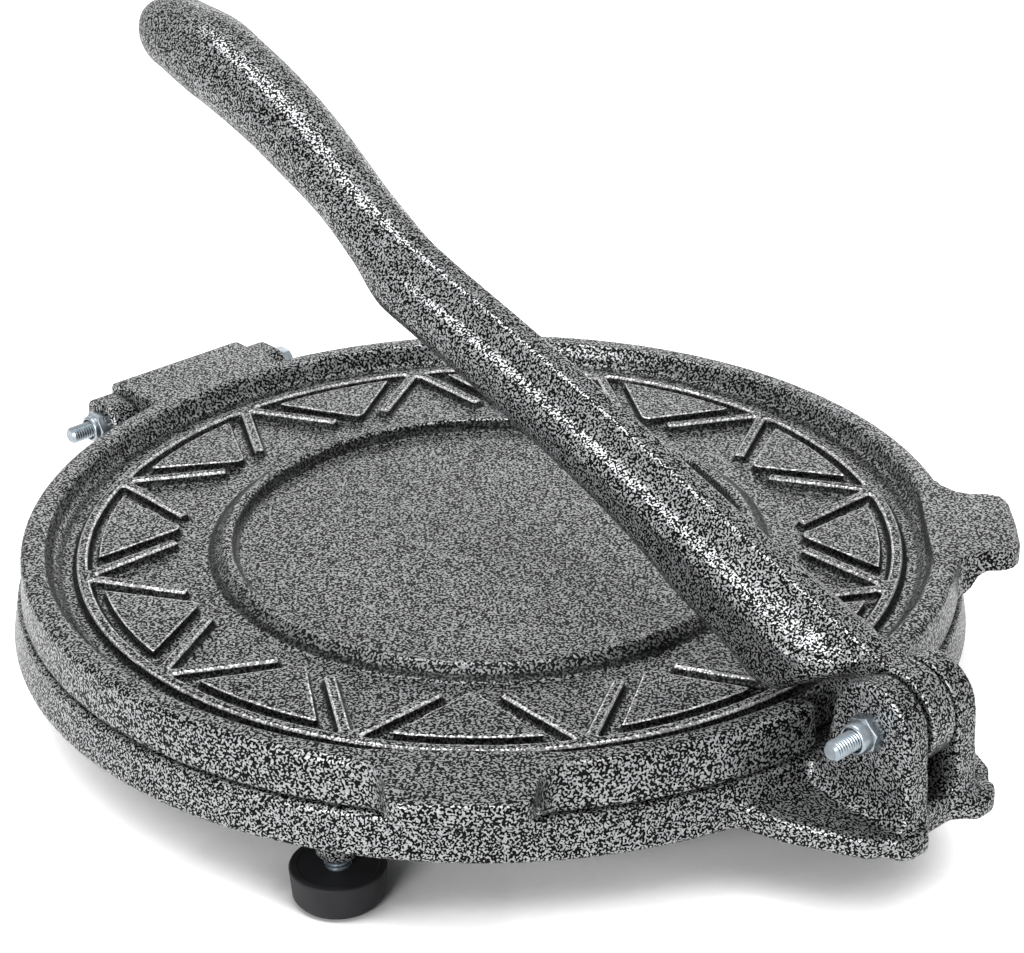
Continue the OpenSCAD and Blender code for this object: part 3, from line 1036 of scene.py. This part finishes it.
    def lug(self) -> list[Piece]:
        """The hinge lug behind the rim: a flat block with a round barrel under it."""
        s, edge = self.sizes, self.lug_back_r
        back = s.hinge_y + s.barrel_r
        start = s.plate_r - self.rim_w + 3
        outline = [(start, 0), (start, s.top_bottom), (s.hinge_y, s.top_bottom),
                   (s.hinge_y, s.hinge_z), (back, s.hinge_z)]
        outline += arc((back - edge, -edge), edge, 0, 90, 6)
        block = extruded("lug_block", outline, Plane.SIDE, -s.lug_x, s.lug_x)
        barrel = round_bar("lug_barrel", s.barrel_r, -s.lug_x, s.lug_x, s.hinge_y, s.hinge_z)
        return [block, barrel]

    def shells(self) -> tuple[Piece, ...]:
        """The notched disc, the ornament, the two tabs and the lug."""
        disc = carve(self.disc(), self.notch())
        tab = self.tab()
        tabs = [copied(tab, -90 - self.tab_turn), copied(tab, -90 + self.tab_turn)]
        bpy.data.objects.remove(tab)
        return (disc, *self.ornament(), *tabs, *self.lug())

    def bores(self) -> Piece:
        """The hinge bore's cutter."""
        s, reach = self.sizes, self.sizes.lug_x + 2
        return round_bar("hinge_bore", s.bolt_r, -reach, reach, s.hinge_y, s.hinge_z)


@dataclass
class BasePlate(Casting):
    """The base plate: deck and skirt, the lever's bracket, the hinge ears and the foot bosses."""

    node: str = "base_plate"
    skin: float = 0.95
    deck_t: float = 7.0
    skirt_t: float = 8.0
    slot_w: float = 12.6
    ear_t: float = 8.8
    ear_r: float = 14.0
    ear_fillet_r: float = 5.0
    flange_t: float = 6.6
    flange_x: float = 42.5
    flange_reach: float = 20.3
    toe_x: float = 22.8
    toe_r: float = 7.0
    web_set_back: float = 5.5
    hinge_ear_t: float = 11.0
    ear_drop: float = 2.8
    boss_foot_r: float = 6.2
    boss_root_r: float = 8.6
    boss_clear: float = 3.6
    stud_r: float = 4.05

    @property
    def bracket_x(self) -> float:
        """Outer face of a bracket ear."""
        return self.slot_w / 2 + self.ear_t

    @property
    def toe_y(self) -> float:
        """Front edge of the bracket's flange."""
        return self.sizes.pivot_y - self.flange_reach

    @property
    def boss_bottom(self) -> float:
        """Underside of the foot bosses."""
        return self.sizes.pad_h + self.boss_clear - RIM_Z

    def disc(self) -> Piece:
        """The turned body: deck and skirt."""
        s = self.sizes
        deck_bottom = s.base_top - self.deck_t
        top_r = s.seam_r + s.base_lip
        in_r = s.base_r - self.skirt_t
        profile = (
            arc((top_r - 0.8, s.base_top - 0.8), 0.8, 90, 0, 3)
            + arc((s.base_r - 1.5, s.base_bottom + 1.5), 1.5, 0, -90, 5)
            + arc((in_r + 1, s.base_bottom + 1), 1, 270, 180, 3)
            + arc((in_r - 4.5, deck_bottom - 4), 4, 0, 90, 5)
        )
        return turned("base_disc", profile, PLATE_FACES)

    def flange(self) -> Piece:
        """The bracket's foot flange, drawn in plan and cut to its side outline."""
        s, wide, toe = self.sizes, self.flange_x, self.toe_y
        slot, back = self.slot_w / 2, 4 - s.plate_r
        top = s.base_bottom + self.flange_t
        half = [(wide, back), (wide - 4.5, toe + 31), (self.toe_x + 5, toe + 10)]
        half += arc((self.toe_x - self.toe_r, toe + self.toe_r), self.toe_r, -10, -80, 8)
        half += [(slot + 5, toe), (slot + 0.8, toe + 4.5), (slot, toe + self.web_set_back + 1)]
        height = s.base_bottom + s.base_h
        plan = extruded("flange", with_mirror(half), Plane.PLAN, s.base_bottom, height)
        side = [(toe, s.base_bottom), (back, s.base_bottom), (back, top + 3),
                (-s.base_r - 3, top + 0.6), (toe + 1.5, top), (toe, top - 1.5)]
        cutter = extruded("flange_side", side, Plane.SIDE, -wide - 1, wide + 1)
        return carve(plan, cutter, "INTERSECT")

    def bracket(self) -> list[Piece]:
        """Two ears with round tops and fillets on the flange, and the web between them."""
        s, slot, out_x, r = self.sizes, self.slot_w / 2, self.bracket_x, self.ear_fillet_r
        foot, back, heel = s.base_bottom, 4 - s.plate_r, -s.plate_r - 6
        front = s.pivot_y - self.ear_r - 2.3
        outline = [(s.pivot_y - self.ear_r, s.pivot_z), (front, foot + 1), (front + 1, foot),
                   (back, foot), (back, s.base_top - 1), (heel + 3, s.base_top - 0.8),
                   (heel, s.base_top + 2), (s.pivot_y + self.ear_r, s.pivot_z)]
        ear = extruded("ear", outline, Plane.SIDE, slot, out_x)
        top = round_bar("ear_top", self.ear_r, slot, out_x, s.pivot_y, s.pivot_z)
        low = foot + self.flange_t
        corner = [(out_x - 1, low - 1), (out_x - 1, low + r)]
        corner += arc((out_x + r, low + r), r, 180, 270, 6) + [(out_x + r, low - 1)]
        fillet = extruded("ear_fillet", corner, Plane.PLAN, 0, -s.base_r + 2 - front)
        upright = Matrix.Rotation(math.pi / 2, 4, "X")
        fillet.data.transform(Matrix.Translation((0, (-s.base_r + 3) * MM, 0)) @ upright)
        web_y = self.toe_y + self.web_set_back
        web = extruded("web", [
            (web_y, foot), (web_y + 14, foot), (web_y + 13, foot + 11),
            (web_y + 1.5, foot + 9.6), (web_y, foot + 8.4),
        ], Plane.SIDE, -slot - 1, slot + 1)
        return [mirrored_in_x(ear), mirrored_in_x(top), mirrored_in_x(fillet), web]

    def hinge_ears(self) -> Piece:
        """The two square-backed ears that carry the hinge bolt."""
        s, drop = self.sizes, self.ear_drop
        back = s.hinge_y + s.barrel_r - 1
        inner = s.lug_x + s.lug_gap
        outline = [(s.plate_r + 1.2, s.base_top), (s.plate_r - 6, s.base_top),
                   (s.plate_r - 6, s.base_bottom + 1), (s.base_r + 1, s.base_bottom + 1),
                   (back, s.hinge_z - 6)]
        outline += arc((back - 4, -drop - 4), 4, 0, 90, 6)
        outline += arc((s.hinge_y - 3, -drop - 5), 5, 90, 150, 5)
        ear = extruded("hinge_ear", outline, Plane.SIDE, inner, inner + self.hinge_ear_t)
        return mirrored_in_x(ear)

    def bosses(self) -> list[Piece]:
        """The three tapered bosses that the foot studs screw into."""
        s = self.sizes
        root = s.base_top - self.deck_t + 1
        profile = [(self.boss_foot_r, self.boss_bottom), (self.boss_root_r, root)]
        boss = turned("boss", profile, BAR_FACES)
        boss.data.transform(Matrix.Translation((s.foot_at * MM, 0, 0)))
        parts = [copied(boss, angle) for angle in s.foot_angles]
        bpy.data.objects.remove(boss)
        return parts

    def bores(self) -> Piece:
        """One cutter for the two cross bores and the three stud bores."""
        s, out_x, low = self.sizes, self.bracket_x + 2, self.boss_bottom
        reach = s.lug_x + s.lug_gap + self.hinge_ear_t + 2
        bars = [
            round_bar("hinge_bore", s.bolt_r, -reach, reach, s.hinge_y, s.hinge_z),
            round_bar("pivot_bore", s.bolt_r, -out_x, out_x, s.pivot_y, s.pivot_z),
        ]
        for angle in s.foot_angles:
            turn = math.radians(angle)
            x, y = s.foot_at * math.cos(turn), s.foot_at * math.sin(turn)
            bars.append(upright_bar("stud_bore", self.stud_r, low - 2, low + 15, x, y))
        return join(*bars)

    def shells(self) -> tuple[Piece, ...]:
        """The disc, the flange, the bracket, the hinge ears and the bosses."""
        body = (self.disc(), self.flange(), *self.bracket())
        return (*body, self.hinge_ears(), *self.bosses())


@dataclass
class Lever(Casting):
    """The lever: a thin tang, a fluted shank that widens to the pressing heel, and an oval grip."""

    node: str = "lever"
    body: Body = Body.LEVER
    triangles: int = 150_000
    tang_w: float = 9.6
    tang_r: float = 14.6
    shank_w: float = 13.0
    heel_w: float = 16.0
    heel_z: float = -2.0
    grip_w: float = 14.6
    grip_square: float = 0.9
    tip_len: float = 20.0
    steps: int = 6

    def rows(self) -> list[tuple[float, ...]]:
        """Cuts along the lever: crest y and z, keel y and z, half width, and flute depth."""
        heel, shank, grip = self.heel_w, self.shank_w, self.grip_w
        return [
            (-163, 20.6, -161.5, 10, 5.4, 1), (-157, 22.3, -155.5, 8.4, 10.5, 1),
            (-149, 24.8, -147, 4.4, heel - 1, 1), (-139, 28.4, -134, self.heel_z, heel, 1),
            (-126, 33.4, -117, 5.4, heel - 0.6, 1), (-106, 40.6, -97.5, 13.2, heel - 1.6, 1),
            (-80, 50, -70.5, 26.8, shank + 0.6, 1), (-45, 62, -36.5, 39.8, shank, 1),
            (-10, 73.6, -2.5, 51.4, shank, 1), (17, 82.2, 24.5, 59.6, shank, 0.95),
            (34, 88.2, 42.5, 64.8, shank, 0.7), (47, 94.8, 57, 73.4, shank - 1.4, 0.2),
            (60.4, 102, 72.5, 84.4, grip - 2.8, 0), (79.4, 115.1, 90.8, 93.1, grip - 1.9, 0),
            (100, 126.4, 110, 101.4, grip - 1.1, 0), (120.2, 134.6, 129.8, 108.1, grip - 0.5, 0),
            (136, 139.8, 143.5, 112, grip, 0), (152.8, 141.8, 157.2, 116.4, grip - 1.2, 0),
        ]

    @staticmethod
    def blend(rows: Sequence[Sequence[float]], at: float) -> list[float]:
        """Reads the table of cuts at a place between two of them, on a smooth curve.

        Args:
            rows: The table.
            at: The place, as a row number with a fraction.

        Returns:
            One row of values.
        """
        index = min(int(at), len(rows) - 2)
        t = at - index
        near = [rows[max(0, min(len(rows) - 1, index + k))] for k in (-1, 0, 1, 2)]
        return [
            0.5 * (2 * b + (c - a) * t + (2 * a - 5 * b + 4 * c - d) * t * t
                   + (3 * b - a - 3 * c + d) * t ** 3)
            for a, b, c, d in zip(*near)
        ]

    @staticmethod
    def fluted(width: float, height: float) -> list[Point]:
        """Half outline of the shank: a narrow crest, hollow flutes and a wide body."""
        u = min(1.0, height / 12)
        return [
            (0, height), (3.5, height), (5, height - 1.5 * u), (5.6, height - 4 * u),
            (max(5.6, width - 5.5), height - 7 * u), (max(5.7, width - 2), height - 9 * u),
            (width, height - 11.5 * u), (width, 5 * u - height), (width - 1.5, 1.6 * u - height),
            (width - 5, -height), (0, -height),
        ]

    def oval(self, width: float, height: float) -> list[Point]:
        """Half outline of the grip, as many points as the shank's."""
        points = []
        for i in range(11):
            t = math.radians(90 - 18 * i)
            c, s = math.cos(t), math.sin(t)
            across = width * abs(c) ** self.grip_square
            points.append((across, height * math.copysign(abs(s) ** self.grip_square, s)))
        points[0], points[-1] = (0, height), (0, -height)
        return points

    def ring(self, row: Sequence[float], shrink: float = 1, ahead: float = 0) -> list[Vector]:
        """One cut of the lever as points in space.

        Args:
            row: A row of the table of cuts.
            shrink: Size of the cut, less than 1 on the rounded tip.
            ahead: How far the cut is moved on towards the tip.

        Returns:
            The points round the cut, in metres.
        """
        crest, keel = Vector((row[0], row[1])), Vector((row[2], row[3]))
        up = (crest - keel) / 2
        way = up.normalized()
        middle = (crest + keel) / 2 + ahead * Vector((way.y, -way.x))
        width, height, flute = row[4] * shrink, up.length * shrink, row[5]
        half = [
            (flute * a[0] + (1 - flute) * b[0], flute * a[1] + (1 - flute) * b[1])
            for a, b in zip(self.fluted(width, height), self.oval(width, height))
        ]
        whole = half + [(-x, z) for x, z in reversed(half[1:-1])]
        return [Vector((x, middle.x + z * way.x, middle.y + z * way.y)) * MM for x, z in whole]

    def arm(self) -> Piece:
        """The shank and grip: a circle set to the first cut and extruded through the others."""
        rows = self.rows()
        places = [i / self.steps for i in range((len(rows) - 1) * self.steps)]
        rings = [self.ring(self.blend(rows, at)) for at in places]
        for angle in (0, 10, 20, 30, 40, 50, 60, 70, 79, 86):
            turn = math.radians(angle)
            rings.append(self.ring(rows[-1], math.cos(turn), self.tip_len * math.sin(turn)))
        item = primitive(
            "lever_body", bpy.ops.mesh.primitive_circle_add,
            vertices=len(rings[0]), radius=MM, fill_type="NOTHING",
        )
        for vertex, place in zip(item.data.vertices, rings[0]):
            vertex.co = place
        edit_all()
        for last, ring in zip(rings, rings[1:]):
            bpy.ops.mesh.extrude_region_move()
            mesh = bmesh.from_edit_mesh(item.data)
            for vertex in (v for v in mesh.verts if v.select):
                near = min(range(len(last)), key=lambda k: (last[k] - vertex.co).length_squared)
                vertex.co = ring[near]
            bmesh.update_edit_mesh(item.data)
        bpy.ops.mesh.select_all(action="SELECT")
        bpy.ops.mesh.fill_holes(sides=0)
        close_normals()
        return item

    def tang(self) -> list[Piece]:
        """The thin tang that turns between the bracket's ears."""
        s, half = self.sizes, self.tang_w / 2

        def around(angle: float) -> Point:
            """A point on the tang's round end."""
            turn, r = math.radians(angle), self.tang_r
            return s.pivot_y + r * math.cos(turn), s.pivot_z + r * math.sin(turn)

        outline = [around(105), (-171, 18.2), (-160, 20.6), (-142, 26), (-142, 3), (-150, 2.6),
                   around(-50), (s.pivot_y, s.pivot_z)]
        blade = extruded("tang", outline, Plane.SIDE, -half, half)
        return [blade, round_bar("tang_end", self.tang_r, -half, half, s.pivot_y, s.pivot_z)]

    def shells(self) -> tuple[Piece, ...]:
        """The arm and the tang."""
        return (self.arm(), *self.tang())

    def bores(self) -> Piece:
        """The pivot bore's cutter."""
        s, out_x = self.sizes, self.tang_w
        return round_bar("pivot_bore", s.bolt_r, -out_x, out_x, s.pivot_y, s.pivot_z)


# ---------- fasteners and feet ----------

@dataclass
class CrossBolt:
    """An M6 cross bolt with its washer, and the lock nut with its insert at the other end."""

    zinc: Material
    nylon: Material
    label: str
    y: float
    z: float
    grip_x: float
    length: float
    nut_h: float
    nut_turn: float = 0.0
    radius: float = 3.0
    pitch: float = 1.0
    depth: float = 0.6
    thread: float = 24.0
    tip: float = 0.85
    flats: float = 10.0
    head_h: float = 4.0
    hex_h: float = 4.0
    collar_r: float = 4.7
    washer_r: float = 6.0
    washer_t: float = 1.6

    def bolt(self) -> Piece:
        """The bolt, from its chamfered tip at z = 0 up to its head."""
        r, top, end = self.radius, self.thread, self.length
        rod = screwed(f"{self.label}_rod", r, self.pitch, self.depth, [
            (r - self.tip, 0), (r + 0.02, self.tip), (r + 0.02, top),
        ])
        shank = turned("shank", [
            (r - 0.6, top - 0.5), (r - 0.01, top + 0.3), (r - 0.01, end + 0.5),
        ], SHANK_FACES)
        head = machined(hexagon("head", self.flats, end, end + self.head_h))
        return shaded(fuse(rod, shank, head))

    def washer(self) -> Piece:
        """The pressed washer, with the rounded edge of its punched side outwards."""
        r, t = self.washer_r, self.washer_t
        ring = turned("washer", [
            (r - 0.1, 0), (r, 0.1), (r, t - 0.45), (r - 0.13, t - 0.13), (r - 0.45, t),
        ], SMALL_FACES)
        carve(ring, upright_bar("washer_hole", self.radius + 0.2, -1, t + 1))
        return machined(ring, 0.05)

    def nut(self) -> Piece:
        """The lock nut: a hexagon and a collar whose lip is rolled in over the insert."""
        r, h, low = self.collar_r, self.nut_h, self.hex_h
        body = machined(hexagon("nut_hexagon", self.flats, 0, low, self.nut_turn))
        collar = turned("nut_collar", [
            (r - 0.4, low - 0.8), (r + 0.15, low - 0.2), (r, low + 0.6), (r, h - 0.9),
            (r - 0.12, h - 0.45), (r - 0.4, h - 0.12), (r - 0.75, h), (r - 1, h - 0.12),
            (r - 1.05, h - 0.5), (r - 1.05, low + 0.2),
        ], SMALL_FACES)
        nut = fuse(body, collar)
        carve(nut, upright_bar("nut_hole", self.radius + 0.05, -1, h + 1))
        return shaded(nut)

    def insert(self) -> Piece:
        """The nylon ring under the nut's lip."""
        r, h, low = self.collar_r - 1.1, self.nut_h, self.hex_h
        ring = turned("insert", [
            (r - 0.1, low + 0.25), (r, low + 0.35), (r, h - 1.5), (r - 0.15, h - 1.15),
            (r - 0.4, h - 1),
        ], BAR_FACES)
        carve(ring, upright_bar("insert_hole", self.radius + 0.02, 0, h))
        return machined(ring, 0.03)

    def build(self) -> None:
        """Builds the pieces and puts them on their axis."""
        tip_x = self.grip_x + self.washer_t - self.length
        for kind, item, x, tilt, finish, slot in (
            ("bolt", self.bolt(), tip_x, 90, self.zinc, Slot.ZINC),
            ("washer", self.washer(), self.grip_x, 90, self.zinc, Slot.ZINC),
            ("nut", self.nut(), -self.grip_x, -90, self.zinc, Slot.ZINC),
            ("nut_insert", self.insert(), -self.grip_x, -90, self.nylon, Slot.NYLON),
        ):
            moved(item, x, self.y, self.z, tilt)
            finish_piece(item, finish, Body.BASE, f"{self.label}_{kind}")


@dataclass
class Feet:
    """The three feet: an M8 stud screwed into its boss and a rubber pad moulded round its disc."""

    sizes: Sizes
    zinc: Material
    rubber: Material
    pad_r: float = 14.25
    stud_low: float = 5.0
    stud_high: float = 29.1
    radius: float = 4.0
    pitch: float = 1.25
    depth: float = 0.7
    disc_r: float = 9.05
    disc_t: float = 2.5

    def stud(self) -> Piece:
        """The stud: a plain foot that is held in the disc, and a thread above it."""
        r, foot, top = self.radius, self.stud_low, self.stud_high
        low = foot + self.disc_t
        rod = screwed("stud_rod", r, self.pitch, self.depth, [
            (r - 0.2, low - 0.2), (r + 0.02, low + 0.1), (r + 0.02, top - 0.9), (r - 0.8, top),
        ])
        plain = turned("stud_foot", [
            (r - 0.3, foot), (r - 0.02, foot + 0.3), (r - 0.02, low + 0.3),
        ], SHANK_FACES)
        return shaded(fuse(rod, plain))

    def pad(self) -> Piece:
        """The pad: drawn in towards the table, with moulded edges and a cavity for the disc."""
        r, h = self.pad_r, self.sizes.pad_h
        pad = turned("pad", (
            arc((r - 3.1, 1.9), 1.9, -90, -20, 6)
            + [(r - 0.95, 1.6), (r - 0.7, 2.1), (r - 0.62, 3.2)]
            + arc((r - 0.7, h - 0.7), 0.7, 0, 90, 5) + [(r - 2.2, h), (r - 2.5, h - 0.25)]
        ), PAD_FACES)
        low, high = self.stud_low, self.stud_low + self.disc_t
        cavity = turned("pad_cavity", [
            (self.disc_r, low), (self.disc_r, high), (self.radius + 0.05, high),
            (self.radius + 0.05, h + 1),
        ], SMALL_FACES)
        return shaded(carve(pad, cavity), 32)

    def build(self) -> None:
        """Builds one foot and copies it to the three bosses."""
        s = self.sizes
        kinds = (
            ("foot_stud", self.stud(), self.zinc, Slot.ZINC),
            ("foot_pad", self.pad(), self.rubber, Slot.RUBBER),
        )
        for _, item, _, _ in kinds:
            moved(item, s.foot_at, 0, -RIM_Z)
        for number, angle in enumerate(s.foot_angles, 1):
            for kind, item, finish, slot in kinds:
                piece = copied(item, angle)
                finish_piece(piece, finish, Body.BASE, f"{kind}_{number}")
        for _, item, _, _ in kinds:
            bpy.data.objects.remove(item)


def dress(node: str, finish: Material) -> None:
    """Gives a frame node this material in every slot."""
    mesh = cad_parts[node].data
    if not mesh.materials:
        mesh.materials.append(finish)
    for index in range(len(mesh.materials)):
        mesh.materials[index] = finish


# ---------- studio ----------

@dataclass(frozen=True)
class Lamp:
    """A soft area lamp: its place and target in millimetres, size and power."""

    name: str
    place: tuple[float, float, float]
    target: tuple[float, float, float]
    width: float
    depth: float
    watts: float

    def build(self) -> None:
        """Adds the lamp to the scene."""
        data = bpy.data.lights.new(self.name, "AREA")
        data.shape = "RECTANGLE"
        data.size = self.width * MM
        data.size_y = self.depth * MM
        data.energy = self.watts
        lamp = bpy.data.objects.new(self.name, data)
        bpy.context.scene.collection.objects.link(lamp)
        lamp.location = Vector(self.place) * MM
        aim = Vector(self.target) - Vector(self.place)
        lamp.rotation_euler = aim.to_track_quat("-Z", "Y").to_euler()


@dataclass
class Studio:
    """The plain table, the white room, the soft lamps and the camera."""

    camera_place: tuple[float, float, float] = (-0.50003187, -0.55040088, 0.43825219)
    camera_right: tuple[float, float, float] = (0.73615266, -0.67676123, -0.0085734)
    camera_up: tuple[float, float, float] = (0.30575064, 0.32122841, 0.89628615)
    lens_mm: float = 90.26065765
    sensor_mm: float = 36.0
    nearest_m: float = 0.01
    farthest_m: float = 50.0
    table_m: float = 9.0
    table_white: str = "#f2f2f2"
    room_white: str = "#ffffff"
    room_light: float = 0.1
    # The table's glow is dimmed within this reach of the press, from shut in to open sky: a painted
    # shadow.
    shade_reach_m: float = 0.05
    shade_shut: float = 0.34
    shade_open: float = 0.66
    lamps: tuple[Lamp, ...] = (
        Lamp("key_lamp", (-1250, 0, 380), (0, 0, 60), 350, 350, 0.7),
        Lamp("top_lamp", (-60, 150, 1300), (0, 0, 40), 800, 800, 10),
        Lamp("back_lamp", (900, 950, 520), (0, 0, 60), 1200, 250, 1.8),
        Lamp("rim_lamp", (1300, 600, 260), (0, 0, 60), 500, 300, 1.0),
        Lamp("front_lamp", (-1300, -520, 460), (0, -50, 40), 550, 550, 14),
    )

    def build_camera(self) -> None:
        """Adds the camera at its fixed place."""
        data = bpy.data.cameras.new("camera")
        data.lens = self.lens_mm
        data.sensor_width = self.sensor_mm
        data.clip_start = self.nearest_m
        data.clip_end = self.farthest_m
        camera = bpy.data.objects.new("camera", data)
        bpy.context.scene.collection.objects.link(camera)
        right, up = Vector(self.camera_right), Vector(self.camera_up)
        turn = Matrix((right, up, right.cross(up))).transposed()
        camera.matrix_world = Matrix.Translation(self.camera_place) @ turn.to_4x4()
        bpy.context.scene.camera = camera

    @staticmethod
    def seen(tree: Tree) -> Socket:
        """1 for what is seen straight, in a gloss or through a clear piece, and 0 otherwise."""
        path = add_node(tree, "ShaderNodeLightPath")
        seen = path.outputs["Is Camera Ray"]
        for ray in ("Is Glossy Ray", "Is Transmission Ray"):
            seen = add_node(
                tree, "ShaderNodeMath", {0: seen, 1: path.outputs[ray]}, operation="MAXIMUM",
            ).outputs[0]
        return seen

    def build_table(self) -> None:
        """Adds the white table, which shows white to the eye, takes the lamps' shadows on its matt
        part and has a painted shadow in its glow near the press.
        """
        table = primitive("table", bpy.ops.mesh.primitive_plane_add, size=self.table_m)
        material, tree, surface = new_material("white_laminate")
        # The glow is dimmed where ambient occlusion finds the press close by: a painted shadow
        # under and around it.
        open_sky = add_node(
            tree, "ShaderNodeAmbientOcclusion", {"Distance": self.shade_reach_m}, samples=16,
        )
        level = add_node(
            tree, "ShaderNodeMapRange",
            {"Value": open_sky.outputs["AO"], "From Min": self.shade_shut,
             "From Max": self.shade_open},
            interpolation_type="SMOOTHSTEP",
        )
        glow = add_node(
            tree, "ShaderNodeMath", {0: self.seen(tree), 1: level.outputs["Result"]},
            operation="MULTIPLY",
        )
        matt = add_node(tree, "ShaderNodeBsdfDiffuse", {"Color": linear(self.table_white)})
        light = add_node(tree, "ShaderNodeEmission", {"Strength": glow.outputs[0]})
        both = add_node(tree, "ShaderNodeAddShader", {0: matt.outputs[0], 1: light.outputs[0]})
        tree.links.new(both.outputs[0], surface)
        table.data.materials.append(material)

    def build_world(self) -> None:
        """Gives the room a plain soft light, and shows it white."""
        world = bpy.data.worlds.new("room")
        bpy.context.scene.world = world
        world.use_nodes = True
        tree = world.node_tree
        tree.nodes.clear()
        level = add_node(
            tree, "ShaderNodeMapRange", {"Value": self.seen(tree), "To Min": self.room_light},
        )
        glow = add_node(
            tree, "ShaderNodeBackground",
            {"Color": linear(self.room_white), "Strength": level.outputs["Result"]},
        )
        output = add_node(tree, "ShaderNodeOutputWorld")
        tree.links.new(glow.outputs[0], output.inputs["Surface"])

    def build(self) -> None:
        """Builds the studio."""
        bpy.context.scene.view_settings.view_transform = "Standard"
        self.build_world()
        self.build_table()
        for lamp in self.lamps:
            lamp.build()
        self.build_camera()


def main() -> None:
    """Builds the studio, the finishes and every piece of the press."""
    logging.basicConfig(level=logging.INFO, format="%(message)s")
    Studio().build()
    iron = HammertoneEnamel().build()
    dished_iron = ReliefEnamel().build()
    lever_iron = HammertoneEnamel(name="hammertone_enamel_on_lever", flake=0.8).build()
    zinc, rubber, nylon = ZincPlate().build(), MouldedRubber().build(), NylonInsert().build()
    sizes = Sizes()
    for part in (
        BasePlate(sizes, iron),
        TopPlate(sizes, dished_iron),
        Lever(sizes, lever_iron),
        CrossBolt(
            zinc, nylon, "lever", y=sizes.pivot_y, z=sizes.pivot_z,
            grip_x=15.1, length=48.8, nut_h=8, nut_turn=19,
        ),
        CrossBolt(
            zinc, nylon, "hinge", y=sizes.hinge_y, z=sizes.hinge_z,
            grip_x=39.6, length=95, nut_h=6,
        ),
        Feet(sizes, zinc, rubber),
    ):
        part.build()
    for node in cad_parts:
        if node in ("base_plate", "top_plate", "lever"):
            dress(node, iron)
        elif "pad" in node:
            dress(node, rubber)
        elif "insert" in node:
            dress(node, nylon)
        else:
            dress(node, zinc)
        LOG.info("dressed %s", node)


if __name__ == "__main__":
    main()
